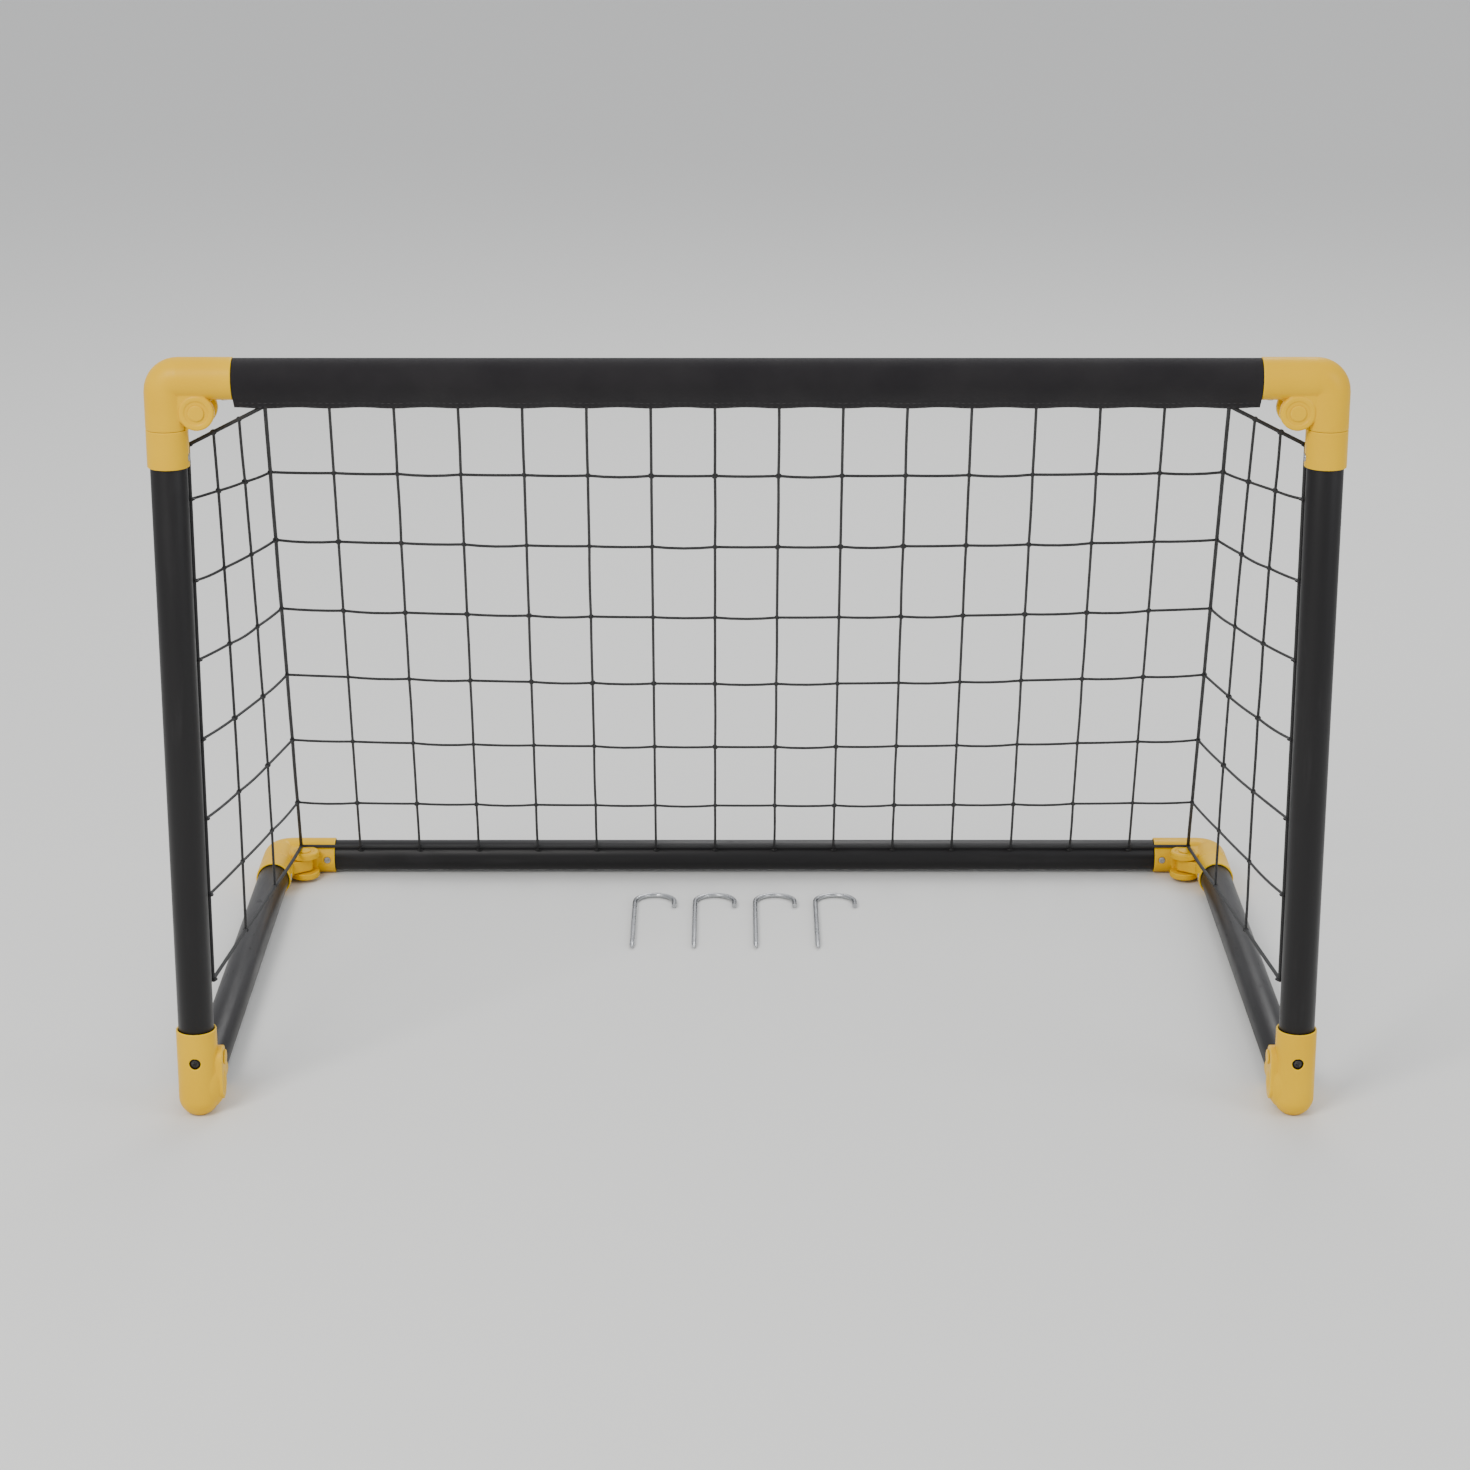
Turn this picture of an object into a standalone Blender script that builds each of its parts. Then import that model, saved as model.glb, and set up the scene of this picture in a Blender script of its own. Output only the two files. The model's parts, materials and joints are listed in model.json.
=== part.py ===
"""Folding garden goal: a tube front frame on a folding tube base, hinged at six moulded corners.

The goal stands on Z = 0 with its middle on the origin, its mouth towards -Y and +X to the right.
"""

import math

import bmesh
import bpy
from mathutils import Matrix, Vector
from mathutils.geometry import convex_hull_2d

# Overall size; the depth follows from the height, because the goal folds flat (see GOAL_DEPTH)
GOAL_WIDTH = 0.900
GOAL_HEIGHT = 0.610

# Tubes and the sockets that hold them
TUBE_RADIUS = 0.0140
TUBE_WALL = 0.0014
SOCKET_WALL = 0.0017
FIT_GAP = 0.0003
SOCKET_FLOOR = 0.0070
SOCKET_LENGTH = 0.0290

# Corner fittings: a fork on the cross tube, a tongue on the leg, one pin through both
BEND_RADIUS = 0.0095
BEND_SINK = 0.00015
BOSS_RADIUS = 0.0135
BOSS_HALF = 0.0120
EYE_RADIUS = 0.0075
TONGUE_HALF = 0.0055
SLOT_GAP = 0.0013
EYE_GAP = 0.0005
FORK_END_GAP = 0.0005
FORK_SOCKET_PAST_PIVOT = 0.0270
FORK_BORE_BEFORE_PIVOT = 0.0035
HOOD_WALL = 0.0045
TONGUE_ROOT_OUT = 0.0080
TONGUE_ROOT_IN = 0.0130

# Feet and the hinges between the posts and the side bars
FOOT_HEIGHT = 0.0720
FOOT_SOLE_RADIUS = 0.0068
FOOT_PIVOT_Z = 0.0440
FOOT_PIVOT_BACK = 0.0080
FOOT_EYE_RADIUS = 0.0080
FOOT_SLOT_GAP = 0.0006
FOOT_BOSS_RADIUS = 0.0110
FOOT_BOSS_PROUD = 0.0040
FOOT_BOSS_LOW = 0.0220
FOOT_OUTER_BOSS_RADIUS = 0.0100
FOOT_WEB = 0.0024
FOOT_SWING_RELIEF = 0.0035
FOOT_HALF_BORE_ANGLE = 0.2
POST_END_HEIGHT = 0.0360
FOOT_SCREW_LIFT = 0.0020
SIDE_SOCKET_GAP = 0.0015

# Pins and screws
PIN_RADIUS = 0.0030
PIN_HEAD_RADIUS = 0.0060
PIN_HEAD = 0.0011
SCREW_RADIUS = 0.0015
SCREW_HEAD_RADIUS = 0.0031
SCREW_HEAD = 0.0008
SCREW_LENGTH = 0.0050
SCREW_SEAT = 0.0011
SCREW_CLEARANCE = 0.0004
SCREW_TOP_RADIUS = 0.0022
SCREW_TOP_ROUND = 0.0001
SCREW_HOLE_DEPTH = 0.0070
SCREW_FROM_END = 0.0070

# Fabric sleeve over the crossbar
SLEEVE_THICKNESS = 0.0012
SLEEVE_HEM_DROP = 0.0225
SLEEVE_HEM_HALF = 0.0015

# Net
STRING = 0.0024
BACK_COLUMNS = 15
SIDE_COLUMNS = 3
NET_ROWS = 7
NET_TOP_INSET = 0.0770
NET_BOTTOM_INSET = 0.0240
NET_HEM_GAP = 0.0030
NET_BAR_GAP = 0.0060
NET_CORNER_GAP = 0.0070
NET_CORNER_DROP = 0.0255
NET_POST_GAP = 0.0030
NET_POST_TOP_DROP = 0.0590
NET_POST_BACK = 0.0170
NET_FOOT_GAP = 0.0350

# Ground pegs
PEG_COUNT = 4
PEG_RADIUS = 0.0023
PEG_HOOK_RADIUS = 0.0180
PEG_SHANK = 0.1150
PEG_TAIL = 0.0100
PEG_TIP = 0.0060
PEG_PITCH = 0.0550
PEG_ROW_BACK = 0.0900

# Smoothness
ROUND = 24
BOSS_ROUND = 20
SMALL_ROUND = 10
HALF_TURN_STEPS = 8

# Derived places
FITTING_RADIUS = TUBE_RADIUS + FIT_GAP + SOCKET_WALL
BORE_RADIUS = TUBE_RADIUS + FIT_GAP
POST_X = GOAL_WIDTH / 2 - FITTING_RADIUS
CROSSBAR_Z = GOAL_HEIGHT - FITTING_RADIUS
BASE_Z = FITTING_RADIUS
# Folded up, the side bars turn about the same lines as the posts, which ties the depth to the height
FRAME_DEPTH = CROSSBAR_Z - FOOT_PIVOT_Z + FOOT_PIVOT_BACK
GOAL_DEPTH = FRAME_DEPTH + 2 * FITTING_RADIUS
FRONT_Y = -FRAME_DEPTH / 2
REAR_Y = FRAME_DEPTH / 2
PIVOT_OFFSET = FITTING_RADIUS + EYE_RADIUS + EYE_GAP
FORK_SOCKET_END = PIVOT_OFFSET + FORK_SOCKET_PAST_PIVOT
FORK_LEG_END = PIVOT_OFFSET + BOSS_RADIUS + FORK_END_GAP
LEG_SOCKET_START = FORK_LEG_END + FIT_GAP
LEG_SOCKET_END = LEG_SOCKET_START + SOCKET_LENGTH
LEG_TUBE_START = LEG_SOCKET_START + SOCKET_FLOOR + FIT_GAP
FORK_BORE_START = PIVOT_OFFSET - FORK_BORE_BEFORE_PIVOT
BAR_TUBE_START = FORK_BORE_START + FIT_GAP
FOOT_PIVOT_Y = FRONT_Y + FOOT_PIVOT_BACK
FOOT_BOSS_IN = FITTING_RADIUS + FOOT_BOSS_PROUD
FOOT_BOSS_OUT = FITTING_RADIUS - PIN_HEAD - FIT_GAP
POST_NOTCH_Z = FOOT_PIVOT_Z + FOOT_EYE_RADIUS + FOOT_WEB
FOOT_SCREW_Z = (POST_END_HEIGHT + POST_NOTCH_Z) / 2 + FOOT_SCREW_LIFT
SIDE_SOCKET_START = FITTING_RADIUS + SIDE_SOCKET_GAP
SIDE_SOCKET_END = SIDE_SOCKET_START + SOCKET_FLOOR + SOCKET_LENGTH
SIDE_TUBE_START = SIDE_SOCKET_START + SOCKET_FLOOR + FIT_GAP
SLEEVE_RADIUS = TUBE_RADIUS + FIT_GAP + SLEEVE_THICKNESS
SLEEVE_HALF = POST_X - FORK_SOCKET_END - FIT_GAP
NET_TOP_HALF = POST_X - NET_TOP_INSET
NET_BOTTOM_HALF = POST_X - NET_BOTTOM_INSET

COLLECTION = "folding_goal"
X_AXIS = Vector((1, 0, 0))
Y_AXIS = Vector((0, 1, 0))
Z_AXIS = Vector((0, 0, 1))


def clear_scene():
    for obj in list(bpy.data.objects):
        bpy.data.objects.remove(obj)


def new_collection(name):
    collection = bpy.data.collections.new(name)
    bpy.context.scene.collection.children.link(collection)
    return collection


def new_material(name, colour, roughness, metallic=0.0):
    material = bpy.data.materials.new(name)
    material.use_nodes = True
    shader = material.node_tree.nodes["Principled BSDF"]
    shader.inputs["Base Color"].default_value = (*colour, 1.0)
    shader.inputs["Roughness"].default_value = roughness
    shader.inputs["Metallic"].default_value = metallic
    return material


# ---- shapes ----


def bmesh_object(bm, name="shape"):
    mesh = bpy.data.meshes.new(name)
    bm.to_mesh(mesh)
    bm.free()
    obj = bpy.data.objects.new(name, mesh)
    CUTTERS.objects.link(obj)
    return obj


def cylinder(start, end, radius, segments=ROUND):
    """A solid cylinder between two points."""
    start, end = Vector(start), Vector(end)
    axis = end - start
    turn = axis.to_track_quat("Z", "Y").to_matrix().to_4x4()
    bm = bmesh.new()
    bmesh.ops.create_cone(
        bm,
        cap_ends=True,
        segments=segments,
        radius1=radius,
        radius2=radius,
        depth=axis.length,
        matrix=Matrix.Translation((start + end) / 2) @ turn,
    )
    return bmesh_object(bm)


def box(low, high):
    low, high = Vector(low), Vector(high)
    bm = bmesh.new()
    size = Matrix.Diagonal((*(high - low), 1.0))
    bmesh.ops.create_cube(bm, size=1.0, matrix=Matrix.Translation((low + high) / 2) @ size)
    return bmesh_object(bm)


def turned(profile, steps=ROUND):
    """A profile of (radius, height) points turned about Z; it runs down its outer side."""
    bm = bmesh.new()
    points = [bm.verts.new((radius, 0.0, height)) for radius, height in profile]
    for first, second in zip(points, points[1:]):
        bm.edges.new((first, second))
    obj = bmesh_object(bm)
    screw = obj.modifiers.new("turn", "SCREW")
    screw.axis = "Z"
    screw.steps = steps
    screw.render_steps = steps
    screw.use_merge_vertices = True
    screw.merge_threshold = 0.00001
    return solid_from(obj)


def plate(outline, low, high, hole=None):
    """A flat outline in XY, from height low to height high."""
    curve = bpy.data.curves.new("outline", "CURVE")
    curve.dimensions = "2D"
    curve.fill_mode = "BOTH"
    curve.extrude = (high - low) / 2
    for points in [outline] + ([hole] if hole else []):
        spline = curve.splines.new("POLY")
        spline.points.add(len(points) - 1)
        for point, (x, y) in zip(spline.points, points):
            point.co = (x, y, 0.0, 1.0)
        spline.use_cyclic_u = True
    obj = bpy.data.objects.new("outline", curve)
    obj.location.z = (low + high) / 2
    CUTTERS.objects.link(obj)
    return solid_from(obj)


def rod(points, radius, resolution=2):
    """A round wire along points, with closed ends."""
    curve = bpy.data.curves.new("wire", "CURVE")
    curve.dimensions = "3D"
    curve.bevel_depth = radius
    curve.bevel_resolution = resolution
    curve.use_fill_caps = True
    spline = curve.splines.new("POLY")
    spline.points.add(len(points) - 1)
    for point, place in zip(spline.points, points):
        point.co = (*place, 1.0)
    obj = bpy.data.objects.new("wire", curve)
    CUTTERS.objects.link(obj)
    return solid_from(obj)


def solid_from(source):
    """A mesh object of source as it evaluates, welded, with its place in its mesh."""
    graph = bpy.context.evaluated_depsgraph_get()
    mesh = bpy.data.meshes.new_from_object(source.evaluated_get(graph))
    mesh.transform(source.matrix_world)
    bm = bmesh.new()
    bm.from_mesh(mesh)
    bmesh.ops.remove_doubles(bm, verts=bm.verts, dist=0.000005)
    bmesh.ops.recalc_face_normals(bm, faces=bm.faces)
    bm.to_mesh(mesh)
    bm.free()
    bpy.data.objects.remove(source)
    obj = bpy.data.objects.new("solid", mesh)
    CUTTERS.objects.link(obj)
    bpy.context.view_layer.update()
    return obj


def combine(target, tools, operation):
    """target joined with, or cut by, each tool in turn; the tools are used up."""
    for tool in tools:
        boolean = target.modifiers.new("join", "BOOLEAN")
        boolean.operation = operation
        boolean.solver = "EXACT"
        boolean.object = tool
        tool.hide_render = True
        tool.display_type = "WIRE"
    bpy.context.view_layer.update()
    result = solid_from(target)
    for tool in tools:
        bpy.data.objects.remove(tool)
    return result


def moved(obj, matrix):
    obj.data.transform(matrix)
    return obj


def finish(obj, name, material, matrix=None, pivot=None):
    """Names the piece, gives it its material and puts its origin on pivot."""
    obj.name = name
    obj.data.name = name
    if matrix is not None:
        obj.data.transform(matrix)
        if matrix.determinant() < 0:
            obj.data.flip_normals()
    if pivot is not None:
        obj.data.transform(Matrix.Translation(-Vector(pivot)))
        obj.location = pivot
    obj.data.materials.clear()
    obj.data.materials.append(material)
    obj.data.shade_smooth()
    obj.data.set_sharp_from_angle(angle=math.radians(35))
    CUTTERS.objects.unlink(obj)
    PARTS.objects.link(obj)
    return obj


def copy_of(obj):
    twin = obj.copy()
    twin.data = obj.data.copy()
    CUTTERS.objects.link(twin)
    return twin


def circle(centre, radius, steps, start=0.0, turn=math.tau):
    """Points on an arc; a full turn doesn't repeat its first point."""
    count = steps if abs(turn) >= math.tau - 1e-6 else steps + 1
    angles = [start + turn * i / steps for i in range(count)]
    return [(centre[0] + radius * math.cos(a), centre[1] + radius * math.sin(a)) for a in angles]


def hull(points):
    """The outline drawn tight round the points."""
    return [points[i] for i in convex_hull_2d([Vector(p) for p in points])]


# ---- fasteners ----


def pin_profile(half_length, head_gap=FIT_GAP):
    shoulder = half_length + head_gap
    top = shoulder + PIN_HEAD
    rim = PIN_HEAD / 3
    return [
        (0.0, top),
        (PIN_HEAD_RADIUS - rim, top),
        (PIN_HEAD_RADIUS, top - rim),
        (PIN_HEAD_RADIUS, shoulder),
        (PIN_RADIUS, shoulder),
    ]


def hinge_pin(half_length):
    """A pin along Z with a head at each end, centred on the origin."""
    upper = pin_profile(half_length)
    lower = [(radius, -height) for radius, height in reversed(upper)]
    return turned(upper + lower, SMALL_ROUND)


def pin_stub(half_length, inner_end):
    """One headed half of a hinge pin, from the head down to inner_end."""
    return turned(pin_profile(half_length) + [(PIN_RADIUS, inner_end), (0.0, inner_end)], SMALL_ROUND)


def screw_along_z(surface):
    """A self-tapping screw that points down -Z, with its head in the seat cut into a surface at that height."""
    seat = surface - SCREW_SEAT + FIT_GAP
    top = seat + SCREW_HEAD
    tip = seat - SCREW_LENGTH
    profile = [
        (0.0, top),
        (SCREW_TOP_RADIUS, top - SCREW_TOP_ROUND),
        (SCREW_HEAD_RADIUS, seat + SCREW_HEAD / 3),
        (SCREW_HEAD_RADIUS, seat),
        (SCREW_RADIUS, seat),
        (SCREW_RADIUS, tip + SCREW_RADIUS),
        (0.0, tip),
    ]
    return turned(profile, SMALL_ROUND)


def screw_hole(surface):
    """Cutters for the screw above: its seat and its hole."""
    hole_radius = SCREW_RADIUS + SCREW_CLEARANCE
    seat_radius = SCREW_HEAD_RADIUS + SCREW_CLEARANCE
    low = surface - SCREW_HOLE_DEPTH
    return [
        cylinder((0, 0, low), (0, 0, surface + SCREW_SEAT), hole_radius, SMALL_ROUND),
        cylinder((0, 0, surface - SCREW_SEAT), (0, 0, surface + SCREW_SEAT * 3), seat_radius, SMALL_ROUND),
    ]


def pointing(direction, place):
    """A matrix that turns Z to direction and moves to place."""
    turn = Vector(direction).to_track_quat("Z", "Y").to_matrix().to_4x4()
    return Matrix.Translation(place) @ turn


# ---- corner fittings: X runs along the cross tube, Y along the leg, Z along the pin ----


def quarter_bend():
    """The rounded outer quarter of the corner: an arc spun about the inner line, with its two ends closed."""
    radius = FITTING_RADIUS - BEND_SINK
    reach = math.acos(-BEND_RADIUS / radius)
    step = math.tau / ROUND
    whole_steps = math.floor(reach / step)
    angles = [-reach] + [step * i for i in range(-whole_steps, whole_steps + 1)] + [reach]
    bm = bmesh.new()
    places = [(BEND_RADIUS, -radius * math.cos(a), radius * math.sin(a)) for a in angles]
    arc = [bm.verts.new(place) for place in places]
    edges = [bm.edges.new(pair) for pair in zip(arc, arc[1:])]
    centre = (BEND_RADIUS, BEND_RADIUS, 0)
    quarter = -math.pi / 2
    bmesh.ops.spin(
        bm, geom=arc + edges, cent=centre, axis=(0, 0, 1), angle=quarter, steps=HALF_TURN_STEPS - 2
    )
    bmesh.ops.remove_doubles(bm, verts=bm.verts, dist=0.00001)
    on_first = [e for e in bm.edges if all(abs(v.co.x - BEND_RADIUS) < 1e-6 for v in e.verts)]
    on_last = [e for e in bm.edges if all(abs(v.co.y - BEND_RADIUS) < 1e-6 for v in e.verts)]
    poles = [v for v in bm.verts if (v.co.xy - Vector(centre).xy).length < 1e-5]
    axis_edge = bm.edges.new(poles)
    for loop in (on_first, on_last):
        bmesh.ops.contextual_create(bm, geom=loop + [axis_edge])
    bmesh.ops.recalc_face_normals(bm, faces=bm.faces)
    return bmesh_object(bm)


def fork_fitting():
    """The half on the cross tube: socket, rounded corner, two cheeks and the slot between them."""
    e = PIVOT_OFFSET
    start = BEND_RADIUS - BEND_SINK * 2
    body = cylinder((start, 0, 0), (FORK_SOCKET_END, 0, 0), FITTING_RADIUS)
    knuckle = hull(circle((e, e), BOSS_RADIUS, BOSS_ROUND) + [(0, 0)])
    joined = [
        quarter_bend(),
        cylinder((0, start, 0), (0, FORK_LEG_END, 0), FITTING_RADIUS),
        plate(knuckle, -BOSS_HALF, BOSS_HALF),
    ]
    body = combine(body, joined, "UNION")
    far = FORK_SOCKET_END * 2
    slot_half = TONGUE_HALF + SLOT_GAP
    slot_start = FITTING_RADIUS + FIT_GAP
    screw_x = FORK_SOCKET_END - SCREW_FROM_END
    drill = [moved(c, pointing((0, 1, 0), (screw_x, 0, 0))) for c in screw_hole(FITTING_RADIUS)]
    cuts = [
        box((HOOD_WALL - FITTING_RADIUS, slot_start, -slot_half), (far, far, slot_half)),
        cylinder((FORK_BORE_START, 0, 0), (far, 0, 0), BORE_RADIUS),
        cylinder((e, e, -BOSS_HALF * 2), (e, e, BOSS_HALF * 2), PIN_RADIUS + FIT_GAP, SMALL_ROUND),
    ]
    return combine(body, cuts + drill, "DIFFERENCE")


def tongue_fitting(pivot, eye_radius, root_out, root_in, start, end):
    """The half on the leg: a socket along Y from start to end, and a flat tongue to the eye at pivot."""
    root = start + SOCKET_FLOOR / 2
    outline = hull(circle(pivot, eye_radius, BOSS_ROUND) + [(-root_out, root), (root_in, root)])
    body = cylinder((0, start, 0), (0, end, 0), FITTING_RADIUS)
    body = combine(body, [plate(outline, -TONGUE_HALF, TONGUE_HALF)], "UNION")
    screw_y = end - SCREW_FROM_END
    drill = [moved(c, pointing((1, 0, 0), (0, screw_y, 0))) for c in screw_hole(FITTING_RADIUS)]
    far = (0, end * 2, 0)
    top = BOSS_HALF * 2
    cuts = [
        cylinder((0, start + SOCKET_FLOOR, 0), far, BORE_RADIUS),
        cylinder((*pivot, -top), (*pivot, top), PIN_RADIUS + FIT_GAP, SMALL_ROUND),
    ]
    return combine(body, cuts + drill, "DIFFERENCE")


def corner_frames():
    """Each hinged corner's name and matrix: X along its cross tube, Y along its leg, Z along its pin."""
    frames = {}
    for side, sign in (("left", -1), ("right", 1)):
        inward = Vector((-sign, 0, 0))
        for name, leg, place in (
            (f"top_{side}", -Z_AXIS, (sign * POST_X, FRONT_Y, CROSSBAR_Z)),
            (f"rear_{side}", -Y_AXIS, (sign * POST_X, REAR_Y, BASE_Z)),
        ):
            pin = inward.cross(leg)
            turn = Matrix((inward, leg, pin)).transposed().to_4x4()
            frames[name] = Matrix.Translation(place) @ turn
    return frames


def make_corners(frames, plastic, steel):
    """The four hinged corners: fork, tongue and pin, and the screws that hold them on their tubes."""
    fork = fork_fitting()
    pivot = (PIVOT_OFFSET, PIVOT_OFFSET)
    tongue = tongue_fitting(
        pivot, EYE_RADIUS, TONGUE_ROOT_OUT, TONGUE_ROOT_IN, LEG_SOCKET_START, LEG_SOCKET_END
    )
    leg_name = {"top": "post", "rear": "side"}
    bar_name = {"top": "crossbar", "rear": "back"}
    for corner, frame in frames.items():
        level = corner.split("_")[0]
        centre = frame @ Vector((*pivot, 0))
        finish(copy_of(fork), f"{corner}_{bar_name[level]}_fitting", plastic, frame, centre)
        finish(copy_of(tongue), f"{corner}_{leg_name[level]}_fitting", plastic, frame, centre)
        place = frame @ Matrix.Translation((*pivot, 0))
        if level == "top":
            finish(hinge_pin(BOSS_HALF), f"{corner}_pin", steel, place, centre)
            continue
        for end, turn in (("a", 0), ("b", math.pi)):
            stub = pin_stub(BOSS_HALF, TONGUE_HALF + SLOT_GAP)
            finish(stub, f"{corner}_pin_{end}", steel, place @ Matrix.Rotation(turn, 4, "X"), centre)
    for shape in (fork, tongue):
        bpy.data.objects.remove(shape)


# ---- feet ----


def foot_body():
    """The outside of a foot about its post's axis: a round shank with a ball end cut flat to stand on."""
    drop = math.sqrt(FITTING_RADIUS**2 - FOOT_SOLE_RADIUS**2)
    rim = SOCKET_WALL / 3
    end_angle = -math.asin(drop / FITTING_RADIUS)
    ball = circle((0, drop), FITTING_RADIUS, HALF_TURN_STEPS, 0.0, end_angle)
    shank = [(0.0, FOOT_HEIGHT), (FITTING_RADIUS - rim, FOOT_HEIGHT), (FITTING_RADIUS, FOOT_HEIGHT - rim)]
    return turned(shank + ball + [(0.0, 0.0)])


def across(shape, inward):
    """Turns a plate drawn as (depth, height) so that its thickness runs along X, positive inwards."""
    turn = Matrix(((0, 0, inward), (1, 0, 0), (0, 1, 0))).to_4x4()
    moved(shape, turn)
    if inward < 0:
        shape.data.flip_normals()
    return shape


def foot(inward):
    """One foot about its post's axis, on the ground; inward is the X direction of the goal's middle."""
    back = FOOT_PIVOT_BACK
    steps = BOSS_ROUND
    pivot = (back, FOOT_PIVOT_Z)
    lug = hull(
        circle((back / 2, FOOT_PIVOT_Z), FOOT_BOSS_RADIUS, steps)
        + circle((back / 2, FOOT_BOSS_LOW), FOOT_BOSS_RADIUS, steps)
    )
    outer = circle(pivot, FOOT_OUTER_BOSS_RADIUS, steps)
    joined = [
        across(plate(lug, 0, FOOT_BOSS_IN), inward),
        across(plate(outer, -FOOT_BOSS_OUT, 0), inward),
    ]
    body = combine(foot_body(), joined, "UNION")
    slot_half = TONGUE_HALF + FOOT_SLOT_GAP
    slot_front = back - FOOT_EYE_RADIUS - FOOT_SLOT_GAP
    eye_top = FOOT_PIVOT_Z + FOOT_EYE_RADIUS
    reach = FOOT_HEIGHT * 2
    head_seat = PIN_HEAD_RADIUS + FIT_GAP * 2
    start, turn = math.pi + FOOT_HALF_BORE_ANGLE, math.pi - 2 * FOOT_HALF_BORE_ANGLE
    half_bore = circle((0, 0), BORE_RADIUS, ROUND // 2, start, turn)
    drill = [moved(c, pointing((0, -1, 0), (0, 0, FOOT_SCREW_Z))) for c in screw_hole(FITTING_RADIUS)]
    cuts = [
        cylinder((0, 0, POST_NOTCH_Z - FIT_GAP), (0, 0, reach), BORE_RADIUS),
        plate(half_bore, POST_END_HEIGHT - FIT_GAP, POST_NOTCH_Z + FIT_GAP),
        box((-slot_half, slot_front, -reach), (slot_half, reach, eye_top + FOOT_SLOT_GAP)),
        box((-slot_half, back, -reach), (slot_half, reach, eye_top + FOOT_SWING_RELIEF)),
        cylinder((-reach, *pivot), (reach, *pivot), PIN_RADIUS + FIT_GAP, SMALL_ROUND),
        cylinder((-inward * FOOT_BOSS_OUT, *pivot), (-inward * reach, *pivot), head_seat, steps),
    ]
    return combine(body, cuts + drill, "DIFFERENCE")


def foot_pin(inward):
    """A hinge pin across a foot, with a head on each side."""
    inner = pin_profile(FOOT_BOSS_IN)
    outer = [(radius, -height) for radius, height in reversed(pin_profile(FOOT_BOSS_OUT, FIT_GAP / 2))]
    pin = turned(inner + outer, SMALL_ROUND)
    return moved(pin, pointing((inward, 0, 0), (0, FOOT_PIVOT_BACK, FOOT_PIVOT_Z)))


def make_feet(plastic, steel):
    """Feet and the side bars' front fittings, with their pins."""
    for side, sign in (("left", -1), ("right", 1)):
        inward = -sign
        place = Matrix.Translation((sign * POST_X, FRONT_Y, 0))
        centre = (sign * POST_X, FOOT_PIVOT_Y, FOOT_PIVOT_Z)
        finish(foot(inward), f"{side}_foot", plastic, place, centre)
        finish(foot_pin(inward), f"{side}_foot_pin", steel, place, centre)
        rise = FOOT_PIVOT_Z - BASE_Z
        bar = tongue_fitting(
            (rise, FOOT_PIVOT_BACK),
            FOOT_EYE_RADIUS,
            TONGUE_ROOT_IN,
            TONGUE_ROOT_IN,
            SIDE_SOCKET_START,
            SIDE_SOCKET_END,
        )
        turn = Matrix((Z_AXIS, Y_AXIS, -X_AXIS)).transposed().to_4x4()
        frame = Matrix.Translation((sign * POST_X, FRONT_Y, BASE_Z)) @ turn
        finish(bar, f"{side}_foot_side_fitting", plastic, frame, centre)


# ---- tubes ----


def tube(start, end, holes=()):
    """A hollow tube between two points, drilled for its fixing screws: (place, direction) each."""
    start, end = Vector(start), Vector(end)
    length = (end - start).length
    bore = TUBE_RADIUS - TUBE_WALL
    ring = [(TUBE_RADIUS, length), (TUBE_RADIUS, 0), (bore, 0), (bore, length), (TUBE_RADIUS, length)]
    body = moved(turned(ring), pointing(end - start, start))
    drills = []
    for place, direction in holes:
        place, direction = Vector(place), Vector(direction)
        radius = SCREW_RADIUS + SCREW_CLEARANCE
        outer = place + direction * FITTING_RADIUS
        drills.append(cylinder(place + direction * bore / 2, outer, radius, SMALL_ROUND))
    return combine(body, drills, "DIFFERENCE")


def make_bar(name, y, z, plastic):
    """The crossbar or the back bar, with the screw holes at its two ends, on the leg side."""
    half = POST_X - BAR_TUBE_START
    leg = -Z_AXIS if name == "crossbar_tube" else -Y_AXIS
    screw_x = POST_X - FORK_SOCKET_END + SCREW_FROM_END
    holes = [((sign * screw_x, y, z), leg) for sign in (-1, 1)]
    finish(tube((-half, y, z), (half, y, z), holes), name, plastic)


def make_post(side, sign, plastic, pivot):
    """A post tube: its lower end is cut back at the rear, where the side bar's tongue swings."""
    x = sign * POST_X
    top = CROSSBAR_Z - LEG_TUBE_START
    screw_z = CROSSBAR_Z - LEG_SOCKET_END + SCREW_FROM_END
    holes = [((x, FRONT_Y, screw_z), (-sign, 0, 0)), ((x, FRONT_Y, FOOT_SCREW_Z), (0, -1, 0))]
    body = tube((x, FRONT_Y, POST_END_HEIGHT), (x, FRONT_Y, top), holes)
    reach = TUBE_RADIUS * 2
    front = FRONT_Y - BORE_RADIUS * math.sin(FOOT_HALF_BORE_ANGLE) - FIT_GAP
    notch = box((x - reach, front, 0), (x + reach, FRONT_Y + reach, POST_NOTCH_Z))
    finish(combine(body, [notch], "DIFFERENCE"), f"{side}_post_tube", plastic, None, pivot)


def make_side_bar(side, sign, plastic, pivot):
    x = sign * POST_X
    rear = REAR_Y - LEG_TUBE_START
    front = FRONT_Y + SIDE_TUBE_START
    rear_screw = REAR_Y - LEG_SOCKET_END + SCREW_FROM_END
    front_screw = FRONT_Y + SIDE_SOCKET_END - SCREW_FROM_END
    holes = [((x, rear_screw, BASE_Z), (-sign, 0, 0)), ((x, front_screw, BASE_Z), (0, 0, 1))]
    body = tube((x, front, BASE_Z), (x, rear, BASE_Z), holes)
    finish(body, f"{side}_side_tube", plastic, None, pivot)


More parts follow.
